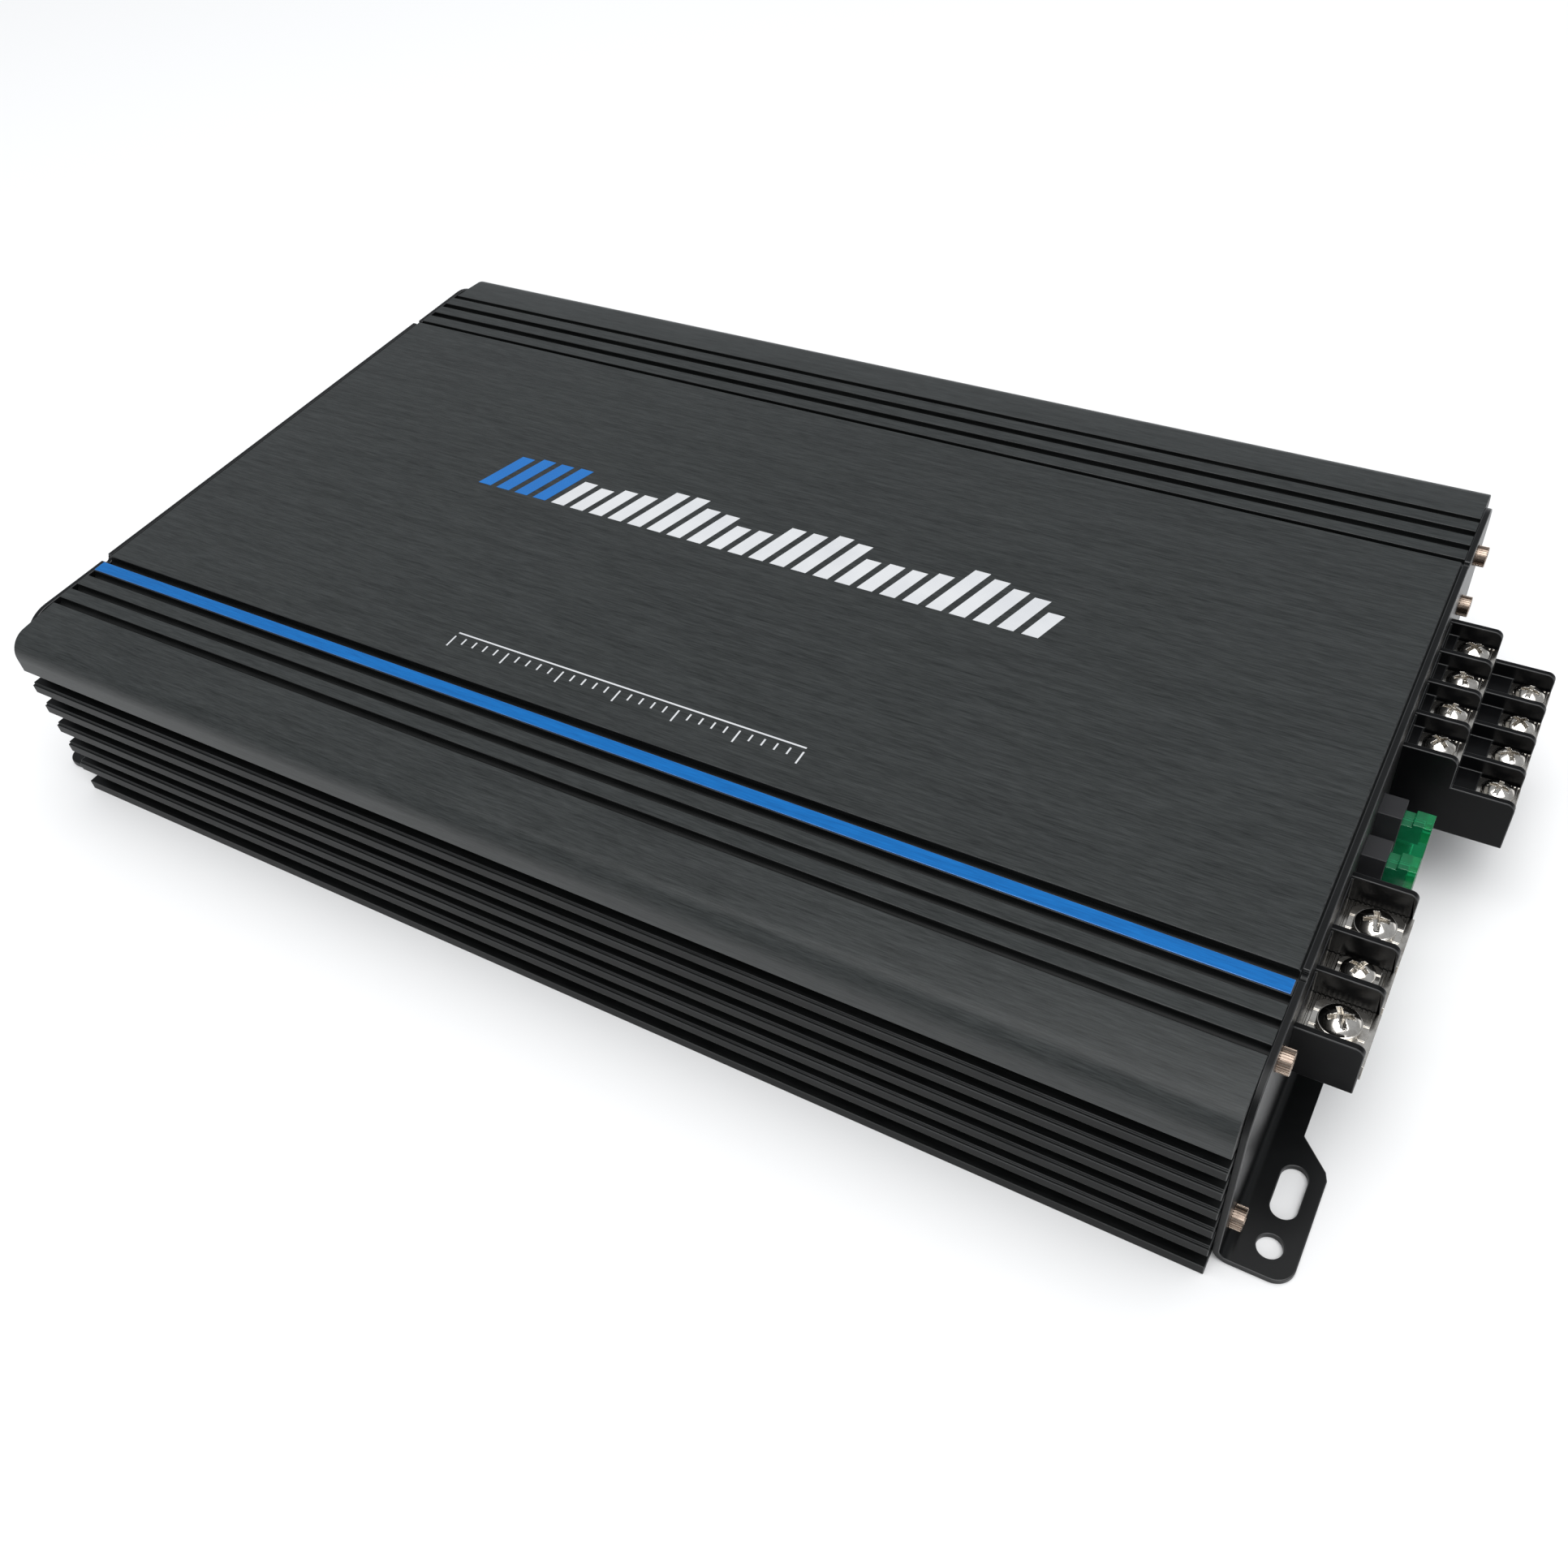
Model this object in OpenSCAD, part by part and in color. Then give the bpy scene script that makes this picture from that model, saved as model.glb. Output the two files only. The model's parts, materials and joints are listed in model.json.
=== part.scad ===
// Four-channel car amplifier: finned extrusion, two footed end plates, terminals and electronics.
// +X points to the power end, +Y to the back, +Z up. The origin is the middle of the underside.

/* [Extrusion] */
// Length of the finned extrusion
body_len = 300; // [296:1:320]
// Half of the width over the fins
half_w = 96; // [95:0.5:97]
// Height over the panel
body_h = 52.6; // [52:0.1:54]
// Half of the width of the flat panel between the grooves
half_panel = 62; // [60:0.5:63]
// Thickness of the top wall
top_t = 3.8; // [3:0.1:4.2]
// Distance from groove to groove
groove_pitch = 5.6; // [5.4:0.1:5.7]
// Width of a groove
groove_w = 2; // [1.6:0.1:2.4]
// Depth of a groove
groove_d = 1.8; // [1.4:0.1:2]
// Distance from fin to fin
fin_pitch = 6.83; // [6.8:0.01:6.86]
// Height of a fin's tip
fin_tip = 2.4; // [2:0.1:2.8]
// Radius of the shoulder
shoulder_r = 5.6; // [5:0.1:6]

/* [End plates] */
// Thickness of the steel sheet
sheet_t = 1.4; // [1.2:0.1:1.6]
// Half of a plate's width
half_plate = 92.1; // [91:0.1:93]
// Reach of a mounting tab beyond the extrusion
tab_reach = 14.85; // [14:0.05:16]
// Reach of the narrow flange beyond the extrusion
flange_reach = 8.3; // [7.5:0.1:9]
// Distance of the slots and holes from the extrusion's end
foot_x = 9.2; // [9:0.1:9.6]
// Distance of a slot from the middle
slot_y = 73.4; // [72:0.1:74]
// Distance of a round hole from the middle
hole_y = 85.8; // [85:0.1:86.5]
// Length of a slot, end to end
slot_len = 12; // [10:0.5:13]
// Width of a slot
slot_w = 5.2; // [4.5:0.1:5.6]
// Diameter of a round hole
foot_hole_d = 5; // [4.5:0.1:5.4]
// Diameter of a cap screw's head
cap_head_d = 4.8; // [4.6:0.1:5.4]
// Height of a cap screw's head
cap_head_h = 2.4; // [2.2:0.1:3]

/* [Speaker terminals] */
// Distance from bay to bay
speaker_pitch = 10.85; // [10.8:0.05:10.9]
// Place of the first speaker partition across the plate
speaker_y = 14; // [13.5:0.1:14.5]

/* [Power terminals] */
// Height of the tops of the partitions
partition_top = 40.2; // [40:0.1:40.6]
// Diameter of a large screw's head
large_head_d = 8; // [7.6:0.1:9]
// Diameter of the remote screw's head
small_head_d = 6.4; // [6:0.1:7]

/* [Fuses] */
// Place of the first fuse across the plate
fuse_y = -15.7; // [-16:0.1:-15.5]
// Distance from fuse to fuse
fuse_pitch = 12.4; // [12:0.1:12.6]
// Height of the middle of the fuses
fuse_z = 28; // [27.8:0.1:28.2]

/* [Board] */
// Height of the circuit board's underside
board_z = 12; // [12:0.1:12.2]
// Thickness of the circuit board
board_t = 1.6; // [1.5:0.1:1.6]

/* [Hidden] */
$fn = 48;

fit = 0.05; // running clearance
gap = 0.3; // clearance around a part in its window
end_x = body_len / 2;
face_x = end_x + sheet_t;
wall_in = 84;
wall_out = 87;
rib_drop = 0.55;
shoulder_drop = 1.6;
shoulder_y = half_w - shoulder_r;
shoulder_z = body_h - shoulder_drop - shoulder_r;
lip_z = 41.4;
base_fin = 2.7;
first_fin = 7;
fin_count = 5;
cover_t = 1.5;
ledge_y = 76;
ledge_top = 6.5;
m3_r = 1.5;
m3_hole_r = 1.55;
top_screw = [76, 45.2];
low_screw = [85.4, 6];
bracket_screw = [68, 36.6];
cover_screw_xs = [-138, -46, 46, 138];
cover_screw_y = 80;
bend_r = 2;
tab_y = 67;
neck_y = 60.2;

board_top = board_z + board_t;
board_half_y = 82.2;
standoff_xs = [-128, -44, 44, 128];
standoff_y = 71;

partition_t = 1.4;
bay_back = face_x + 0.2;

speaker_out = [162.6, 175.6];
speaker_top = [partition_top, 32.2];
speaker_floor = [35.3, 27.3];
speaker_screw_x = [157.8, 171.4];
speaker_contact_t = 0.8;
speaker_bottom = 19.2;
speaker_head = [6.7, 2.8];
speaker_shelf = 0.6; // plastic over the inner half of each contact
speaker_in = 146.2;
tail_w = 1.6;

power_walls = [-64.2, -50.1, -39.6, -25.4];
power_out = 164;
power_floor = 32.9;
power_contact_t = 1;
power_bottom = 27;
power_screw_x = 158.1;
power_in = 146.2;
washer_t = 0.9;
power_pin_r = 2;
remote_pin_r = 1.75;

fuse_t = 4.4;
fuse_head_w = 19.1;
fuse_body_w = 17.4;
fuse_out = 162;
fuse_neck = 158.3;
fuse_root = 149.6;
blade_tip = 143;
blade_w = 5.2;
blade_t = 0.7;
blade_z = 5.9;
holder_t = 6;
holder_out = 156.2;
holder_in = 141;
holder_half = 10.95;

rca_ys = [-62, -46];
rca_zs = [20, 36];
rca_r = 4.15;
rca_reach = 9;
knob_ys = [-22, -4, 22, 40, 62];
knob_z = 33;
knob_r = 4.2;
spindle_r = 3;
switch_ys = [-13, 31, 62];
switch_z = 16.8;
led_ys = [3.5, 10.5];
led_z = 45;
led_r = 1.5;
port = [8.5, 20, 11.4, 9.4];

toroid = [98, -38];
capacitor_ys = [4, 30, 56];
capacitor_x = 100;
coil_ys = [20, 33, 46, 59];
coil_x = 126;
chip_xs = [-60, -20, 20, 60];
transistor_xs = [-96, -72, -48, -24, 0, 24, 48, 72];
clamp_screw_xs = [-84, -36, 12, 60];
clamp_screw_z = 22;
clamp_y = 76.4;

// Lays a flat outline, given across and up, along X.
module along_x(from, to) {
    translate([from, 0, 0]) rotate([90, 0, 90]) linear_extrude(to - from) children();
}

module cyl_x(r, from, to) {
    translate([from, 0, 0]) rotate([0, 90, 0]) cylinder(r = r, h = to - from);
}

module block(low, high) {
    translate(low) cube(high - low);
}

module both_sides() {
    children();
    mirror([0, 1, 0]) children();
}

module plate_screw_places(reach = 0) {
    for (place = [top_screw, low_screw]) {
        both_sides() translate([reach, place[0], place[1]]) children();
    }
}

// ---- Housing

module groove() {
    r = groove_w / 2;
    translate([0, -groove_d + r]) square([groove_w, groove_d]);
    translate([r, -groove_d + r]) circle(r);
}

module top_outline() {
    panel_end = half_panel + 3 * groove_pitch + groove_w;
    polygon([
        [0, body_h - top_t], [0, body_h], [half_panel, body_h], [half_panel, body_h - rib_drop],
        [panel_end, body_h - rib_drop], [panel_end, body_h - rib_drop - 0.3],
        [shoulder_y, body_h - shoulder_drop], [shoulder_y, lip_z], [wall_in, lip_z],
        [wall_in, body_h - top_t]
    ]);
    translate([shoulder_y, shoulder_z]) circle(shoulder_r);
    translate([shoulder_y - 1, lip_z]) square([shoulder_r + 1, shoulder_z - lip_z]);
}

module side_outline() {
    translate([wall_in, 0]) square([wall_out - wall_in, lip_z + 1]);
    translate([wall_in, 0]) square([half_w - wall_in, base_fin]);
    translate([ledge_y, cover_t]) square([wall_in - ledge_y + 1, ledge_top - cover_t]);
    for (i = [0 : fin_count - 1]) {
        translate([wall_in, first_fin + i * fin_pitch]) {
            square([half_w - wall_in, fin_tip]);
            square([half_w - wall_in - 0.6, fin_tip + 0.5]);
        }
    }
    translate(low_screw) circle(3.2);
    translate(top_screw) circle(3.2);
    translate([top_screw[0] - 3.2, top_screw[1]]) square([6.4, body_h - top_t - top_screw[1] + 1]);
}

module half_profile() {
    difference() {
        union() {
            top_outline();
            side_outline();
        }
        for (i = [0 : 3]) {
            translate([half_panel + i * groove_pitch, body_h - rib_drop]) groove();
        }
        translate([0, -1]) square([wall_in + 1.6, cover_t + 1]);
    }
}

module heatsink() {
    color([0.13, 0.135, 0.14]) difference() {
        along_x(-end_x, end_x) {
            half_profile();
            mirror([1, 0]) half_profile();
        }
        for (side = [-1, 1]) {
            plate_screw_places(side * end_x) cyl_x(m3_hole_r, -11, 11);
            // Broken edge along the panel's end
            translate([side * end_x, 0, body_h]) rotate([0, 45, 0])
                cube([0.7, 2 * half_panel, 0.7], center = true);
        }
        for (x = cover_screw_xs) {
            both_sides() translate([x, cover_screw_y, 1]) cylinder(r = m3_hole_r, h = 5);
        }
        for (x = clamp_screw_xs) {
            both_sides() translate([x, wall_in - 1, clamp_screw_z]) rotate([-90, 0, 0])
                cylinder(r = m3_hole_r, h = 3.5);
        }
    }
}

// Blue strip that lies on the rib next to the panel, at the front
module accent_strip() {
    width = groove_pitch - groove_w - 0.3;
    color([0.08, 0.36, 0.8])
    block([-end_x + 0.3, -half_panel - groove_w - 0.15 - width, body_h - rib_drop],
          [end_x - 0.3, -half_panel - groove_w - 0.15, body_h - rib_drop + 0.25]);
}

module bottom_cover() {
    color([0.12, 0.12, 0.13]) difference() {
        block([-end_x + 0.2, -wall_in - 1.3, 0], [end_x - 0.2, wall_in + 1.3, cover_t]);
        for (x = cover_screw_xs) {
            both_sides() translate([x, cover_screw_y, -1]) cylinder(r = 1.7, h = 4);
            both_sides() translate([x, cover_screw_y, -0.01]) cylinder(r1 = 3.1, r2 = 1.7, h = 1.4);
        }
        for (x = [-40, 40]) {
            for (i = [-4 : 4]) {
                block([x - 24, i * 9 - 1.5, -1], [x + 24, i * 9 + 1.5, cover_t + 1]);
            }
        }
    }
}

// ---- End plates

module plate_outline() {
    corner = 9.7;
    top = body_h - 0.7;
    difference() {
        union() {
            translate([-half_plate, bend_r + sheet_t])
                square([2 * half_plate, top - corner - bend_r - sheet_t]);
            translate([corner - half_plate, top - corner - 1])
                square([2 * (half_plate - corner), corner + 1]);
            for (side = [-1, 1]) {
                translate([side * (half_plate - corner), top - corner]) circle(corner);
            }
            translate([-half_panel + 0.6, top - 1]) square([2 * half_panel - 1.2, 1.5]);
        }
        for (side = [-1, 1]) {
            translate([side * (half_panel + 0.6), top]) circle(1);
        }
    }
}

module foot_outline() {
    tab_out = end_x + tab_reach;
    neck_out = end_x + flange_reach;
    tab_r = 4;
    difference() {
        union() {
            translate([face_x + bend_r, -half_plate])
                square([neck_out - face_x - bend_r, 2 * half_plate]);
            for (side = [-1, 1]) {
                polygon([
                    [neck_out - 1, side * neck_y], [neck_out, side * neck_y],
                    [tab_out - 0.7, side * (tab_y - 0.8)], [tab_out, side * (tab_y + 1)],
                    [tab_out, side * (half_plate - tab_r)], [neck_out - 1, side * (half_plate - tab_r)]
                ]);
                translate([tab_out - tab_r, side * (half_plate - tab_r)]) circle(tab_r);
                translate([neck_out - 1, side * (half_plate - tab_r / 2) - tab_r / 2])
                    square([tab_out - tab_r - neck_out + 1, tab_r]);
            }
        }
        for (side = [-1, 1]) {
            for (end = [-1, 1]) {
                translate([end_x + foot_x, side * slot_y + end * (slot_len - slot_w) / 2])
                    circle(d = slot_w);
            }
            translate([end_x + foot_x - slot_w / 2, side * slot_y - (slot_len - slot_w) / 2])
                square([slot_w, slot_len - slot_w]);
            translate([end_x + foot_x, side * hole_y]) circle(d = foot_hole_d);
        }
    }
}

// Sheet bent outwards at its foot
module footed_sheet() {
    outer_r = bend_r + sheet_t;
    along_x(end_x, face_x) plate_outline();
    linear_extrude(sheet_t) foot_outline();
    translate([end_x + outer_r, half_plate, outer_r]) rotate([90, 0, 0]) intersection() {
        linear_extrude(2 * half_plate) difference() {
            circle(outer_r);
            circle(bend_r);
        }
        translate([-outer_r, -outer_r, 0]) cube([outer_r, outer_r, 2 * half_plate]);
    }
}

module power_end_plate() {
    color([0.09, 0.09, 0.1]) difference() {
        footed_sheet();
        plate_screw_places(end_x) cyl_x(1.7, -1, 3);
        translate([end_x, bracket_screw[0], bracket_screw[1]]) cyl_x(1.7, -1, 3);
        speaker_window = [speaker_y - 0.7 - gap, speaker_y + 4 * speaker_pitch + 0.7 + gap];
        block([end_x - 1, speaker_window[0], speaker_bottom - gap],
              [face_x + 1, speaker_window[1], partition_top + gap]);
        block([end_x - 1, power_walls[0] - 0.7 - gap, power_bottom - gap],
              [face_x + 1, power_walls[3] + 0.7 + gap, partition_top + gap]);
        for (i = [0, 1]) {
            y = fuse_y + i * fuse_pitch;
            block([end_x - 1, y - holder_t / 2 - gap, fuse_z - holder_half - gap],
                  [face_x + 1, y + holder_t / 2 + gap, fuse_z + holder_half + gap]);
        }
    }
}

module input_end_plate() {
    color([0.09, 0.09, 0.1]) mirror([1, 0, 0]) difference() {
        footed_sheet();
        plate_screw_places(end_x) cyl_x(1.7, -1, 3);
        for (y = rca_ys, z = rca_zs) {
            translate([end_x, y, z]) cyl_x(rca_r + 1.2 + gap, -1, 3);
        }
        for (y = knob_ys) {
            translate([end_x, y, knob_z]) cyl_x(spindle_r + 0.4, -1, 3);
        }
        for (y = switch_ys) {
            block([end_x - 1, y - 4.6, switch_z - 1.4], [face_x + 1, y + 4.6, switch_z + 1.4]);
        }
        for (y = led_ys) {
            translate([end_x, y, led_z]) cyl_x(led_r + 0.1, -1, 3);
        }
        block([end_x - 1, port[0] - port[2] / 2 - gap, port[1] - port[3] / 2 - gap],
              [face_x + 1, port[0] + port[2] / 2 + gap, port[1] + port[3] / 2 + gap]);
    }
}

// ---- Fasteners

// Cap screw along X: its head's underside is at x = 0 and its thread runs to -X
module cap_screw(length) {
    difference() {
        union() {
            cyl_x(cap_head_d / 2, 0, cap_head_h);
            cyl_x(m3_r, -length, 0.5);
        }
        translate([1, 0, 0]) rotate([0, 90, 0]) cylinder(d = 2.6, h = cap_head_h, $fn = 6);
    }
}

module end_plate_screws() {
    color([0.42, 0.36, 0.31]) for (side = [0, 1]) {
        mirror([side, 0, 0]) plate_screw_places(face_x) cap_screw(9);
    }
    color([0.42, 0.36, 0.31]) translate([face_x, bracket_screw[0], bracket_screw[1]]) cap_screw(6);
}

module cross_recess(size, depth) {
    for (turn = [0, 90]) {
        rotate([0, 0, turn]) translate([0, 0, -depth / 2 + 0.01])
            cube([size, size * 0.22, depth], center = true);
    }
}

module bottom_cover_screws() {
    color([0.2, 0.2, 0.21]) for (x = cover_screw_xs) {
        both_sides() translate([x, cover_screw_y, 0.02]) difference() {
            union() {
                cylinder(r1 = 3, r2 = 1.5, h = 1.4);
                cylinder(r = m3_r, h = 5.6);
            }
            rotate([180, 0, 0]) cross_recess(2.8, 1.2);
        }
    }
}

// Pan head screw that points up: its head's underside is at z = 0
module pan_screw(head_d, head_h, pin_r, pin_len) {
    crown = head_d * 0.62;
    difference() {
        union() {
            cylinder(d = head_d, h = head_h * 0.45);
            intersection() {
                translate([0, 0, head_h * 0.45 - 0.01]) cylinder(d = head_d, h = head_h);
                translate([0, 0, head_h - crown]) sphere(crown, $fn = 64);
            }
            translate([0, 0, -pin_len]) cylinder(r = pin_r, h = pin_len + 0.1);
        }
        translate([0, 0, head_h]) cross_recess(head_d * 0.58, head_h * 0.6);
    }
}

module inner_screws() {
    color([0.62, 0.62, 0.6]) {
        for (x = standoff_xs) {
            both_sides() translate([x, standoff_y, board_top]) pan_screw(5.6, 2, m3_r, 6);
        }
        for (x = clamp_screw_xs) {
            both_sides() translate([x, clamp_y, clamp_screw_z]) rotate([90, 0, 0])
                pan_screw(5.6, 2, m3_r, 9.6);
        }
    }
}

// ---- Board

module board_bracket() {
    y = bracket_screw[0];
    color([0.6, 0.61, 0.62]) difference() {
        union() {
            block([end_x - 4, y - 5, board_top], [end_x, y + 5, bracket_screw[1] + 5]);
            block([end_x - 14, y - 5, board_top], [end_x - 3, y + 5, board_top + 3]);
        }
        translate([end_x, y, bracket_screw[1]]) cyl_x(m3_hole_r, -5, 1);
    }
}

module board_standoffs() {
    color([0.75, 0.62, 0.3]) for (x = standoff_xs) {
        both_sides() translate([x, standoff_y, cover_t]) difference() {
            cylinder(d = 6.4, h = board_z - cover_t, $fn = 6);
            translate([0, 0, 3]) cylinder(r = m3_hole_r, h = board_z);
        }
    }
}

module circuit_board() {
    color([0.1, 0.3, 0.16]) difference() {
        block([-end_x + 3, -board_half_y, board_z], [end_x - 2, board_half_y, board_top]);
        for (x = standoff_xs) {
            both_sides() translate([x, standoff_y, board_z - 1]) cylinder(r = 1.7, h = 4);
        }
        for (i = [0 : 3]) {
            y = speaker_y + (i + 0.5) * speaker_pitch;
            block([143.4, y - tail_w / 2 - 0.1, board_z - 1], [146.4, y + tail_w / 2 + 0.1, board_top + 1]);
        }
        for (i = [0 : 2]) {
            y = (power_walls[i] + power_walls[i + 1]) / 2;
            block([144.9, y - 2.1, board_z - 1], [146.4, y + 2.1, board_top + 1]);
        }
        for (i = [0, 1]) {
            y = fuse_y + i * fuse_pitch;
            block([139.9, y - 2.6, board_z - 1], [141.2, y + 2.6, board_top + 1]);
        }
        for (x = transistor_xs) {
            both_sides() block([x - 3.2, 79.9, board_z - 1], [x + 3.2, 81.1, board_top + 1]);
        }
    }
}

// ---- Speaker terminals

// Partition between two bays, with a rounded outer corner
module partition(y, from, to, floor, top, corner = 1.8) {
    translate([0, y + partition_t / 2, 0]) rotate([90, 0, 0]) linear_extrude(partition_t) {
        translate([from, floor]) square([to - from - corner, top - floor]);
        translate([to - corner - 1, floor]) square([corner + 1, top - floor - corner]);
        translate([to - corner, top - corner]) circle(corner);
    }
}

module speaker_block() {
    front = speaker_y - partition_t / 2;
    back = speaker_y + 4 * speaker_pitch + partition_t / 2;
    color([0.05, 0.05, 0.055]) difference() {
        union() {
            block([speaker_in, front, speaker_bottom], [speaker_out[1], back, speaker_floor[1]]);
            block([speaker_in, front, speaker_bottom], [speaker_out[0], back, speaker_floor[0]]);
            block([149.4, front, speaker_bottom], [bay_back, back, partition_top - 0.6]);
            block([speaker_in, front, board_top], [speaker_in + 3, back, speaker_bottom + 1]);
            for (tier = [0, 1]) {
                shelf_x = tier == 0 ? 149.4 : speaker_out[0] - 2;
                shelf_z = speaker_floor[tier] + speaker_contact_t + speaker_shelf;
                block([shelf_x, front, speaker_floor[tier]], [speaker_screw_x[tier] - 4, back, shelf_z]);
            }
            for (tier = [0, 1], i = [0 : 4]) {
                partition(speaker_y + i * speaker_pitch, tier == 0 ? 149.4 : speaker_out[0] - 1,
                          speaker_out[tier], speaker_floor[tier] - 1, speaker_top[tier]);
            }
        }
        for (i = [0 : 3]) {
            y = speaker_y + (i + 0.5) * speaker_pitch;
            for (tier = [0, 1]) {
                floor = speaker_floor[tier];
                // Slot that the contact runs through
                block([speaker_in - 1, y - 4.2, floor],
                      [speaker_out[tier] + 1, y + 4.2, floor + speaker_contact_t]);
                translate([speaker_screw_x[tier], y, floor - 5.2]) cylinder(r = 1.9, h = 6);
                // Recess for the contact's down-turned lip
                block([speaker_out[tier] - 0.6, y - 4.2, floor - 3],
                      [speaker_out[tier] + 1, y + 4.2, floor + 0.9]);
            }
        }
    }
}

module speaker_contacts() {
    color([0.8, 0.79, 0.75]) for (i = [0 : 3], tier = [0, 1]) {
        y = speaker_y + (i + 0.5) * speaker_pitch;
        floor = speaker_floor[tier];
        out = speaker_out[tier];
        tail_x = tier == 0 ? speaker_in - 0.8 : speaker_in - 2.6;
        difference() {
            union() {
                block([tail_x, y - 4.2, floor], [out, y + 4.2, floor + speaker_contact_t]);
                block([out - 0.6, y - 4.2, floor - 3], [out, y + 4.2, floor + 0.5]);
                block([tail_x, y - tail_w / 2, board_z - 1], [tail_x + 0.8, y + tail_w / 2, floor + 0.5]);
            }
            translate([speaker_screw_x[tier], y, floor - 1]) cylinder(r = m3_r + fit, h = 3);
            for (k = [0 : 2]) {
                groove_x = speaker_screw_x[tier] + 2 + k * 0.8;
                block([groove_x, y - 3.9, floor + speaker_contact_t - 0.15],
                      [groove_x + 0.3, y + 3.9, floor + speaker_contact_t + 1]);
            }
            // Window that the upper contact's tail passes through
            if (tier == 1) {
                block([speaker_in - 0.9, y - tail_w / 2 - 0.1, floor - 1],
                      [speaker_in + 0.1, y + tail_w / 2 + 0.1, floor + 2]);
            }
        }
    }
}

module speaker_screw(number) {
    tier = number > 4 ? 1 : 0;
    bay = (number - 1) % 4;
    seat = speaker_floor[tier] + speaker_contact_t + fit;
    color([0.82, 0.8, 0.76])
    translate([speaker_screw_x[tier], speaker_y + (bay + 0.5) * speaker_pitch, seat])
        rotate([0, 0, 17 + number * 31]) pan_screw(speaker_head[0], speaker_head[1], m3_r, 5);
}

// ---- Power terminals

function power_bay_y(i) = (power_walls[i] + power_walls[i + 1]) / 2;
function power_bay_w(i) = power_walls[i + 1] - power_walls[i] - partition_t;

module power_block() {
    front = power_walls[0] - partition_t / 2;
    back = power_walls[3] + partition_t / 2;
    color([0.05, 0.05, 0.055]) difference() {
        union() {
            block([power_in, front, power_bottom], [power_out - 0.2, back, power_floor]);
            block([149.4, front, power_bottom], [bay_back, back, partition_top - 0.6]);
            block([power_in, front, board_top], [power_in + 3, back, power_bottom + 1]);
            for (y = power_walls) {
                partition(y, 149.4, power_out, power_bottom, partition_top);
            }
        }
        for (i = [0 : 2]) {
            y = power_bay_y(i);
            half = power_bay_w(i) / 2 - 0.1;
            block([power_in - 1, y - half, power_floor],
                  [bay_back + 1, y + half, power_floor + power_contact_t]);
            block([power_out - 0.8, y - half, power_floor - 3],
                  [power_out + 1, y + half, power_floor + power_contact_t]);
            translate([power_screw_x, y, power_floor - 5.2]) cylinder(r = 2.4, h = 6);
        }
    }
}

module power_contacts() {
    lip_out = power_out + 0.4;
    serration = 0.95;
    color([0.83, 0.82, 0.78]) for (i = [0 : 2]) {
        y = power_bay_y(i);
        half = power_bay_w(i) / 2 - 0.1;
        pin_r = i == 1 ? remote_pin_r : power_pin_r;
        difference() {
            union() {
                block([power_in - 1, y - half, power_floor],
                      [lip_out, y + half, power_floor + power_contact_t]);
                block([power_out - 0.8, y - half, power_floor - 3], [lip_out, y + half, power_floor + 0.5]);
                block([power_in - 1, y - 2, board_z - 1], [power_in, y + 2, power_floor + 0.5]);
            }
            translate([power_screw_x, y, power_floor - 1]) cylinder(r = pin_r + fit, h = 4);
            for (k = [0 : 11]) {
                block([bay_back + 0.5 + k * serration, y - half - 1, power_floor + power_contact_t - 0.25],
                      [bay_back + 0.85 + k * serration, y + half + 1, power_floor + power_contact_t + 1]);
            }
            for (k = [-4 : 4]) {
                block([lip_out - 0.15, y + k * 1.15 - 0.15, power_floor - 4],
                      [lip_out + 1, y + k * 1.15 + 0.15, power_floor + 0.6]);
            }
        }
    }
}

// Square clamping washer that rises with its screw
module clamp_washer(bay) {
    long = bay == 1 ? 8 : 10.2;
    wide = bay == 1 ? 7.8 : 9.6;
    pin_r = bay == 1 ? remote_pin_r : power_pin_r;
    seat = power_floor + power_contact_t + fit;
    color([0.85, 0.84, 0.8]) translate([power_screw_x, power_bay_y(bay), seat]) difference() {
        intersection() {
            block([-long / 2, -wide / 2, 0], [long / 2, wide / 2, washer_t]);
            translate([0, 0, -1]) cylinder(d = long * 1.22, h = washer_t + 2);
        }
        translate([0, 0, -1]) cylinder(r = pin_r + fit, h = washer_t + 2);
        for (side = [-1, 1], edge = [-1, 1]) {
            translate([side * long / 2, edge * 1.7, washer_t]) cube([2.6, 0.35, 0.5], center = true);
        }
    }
}

module power_screw(bay) {
    head_d = bay == 1 ? small_head_d : large_head_d;
    pin_r = bay == 1 ? remote_pin_r : power_pin_r;
    seat = power_floor + power_contact_t + washer_t + 2 * fit;
    color([0.82, 0.8, 0.76]) translate([power_screw_x, power_bay_y(bay), seat])
        rotate([0, 0, 24 + bay * 40]) pan_screw(head_d, 3.1, pin_r, 6.4);
}

// ---- Fuses

module fuse_holders() {
    color([0.13, 0.13, 0.135]) for (i = [0, 1]) {
        y = fuse_y + i * fuse_pitch;
        difference() {
            union() {
                block([holder_in, y - holder_t / 2, fuse_z - holder_half],
                      [holder_out, y + holder_t / 2, fuse_z + holder_half]);
                block([holder_in, y - holder_t / 2, board_top],
                      [149, y + holder_t / 2, fuse_z - holder_half + 1]);
            }
            block([fuse_root - 0.2, y - fuse_t / 2 - 0.1, fuse_z - fuse_body_w / 2 - 0.1],
                  [holder_out + 1, y + fuse_t / 2 + 0.1, fuse_z + fuse_body_w / 2 + 0.1]);
            for (side = [-1, 1]) {
                z = fuse_z + side * blade_z;
                block([holder_in - 1, y - 1.3, z - 2.9], [fuse_root, y + 1.3, z + 2.9]);
            }
        }
    }
}

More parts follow.
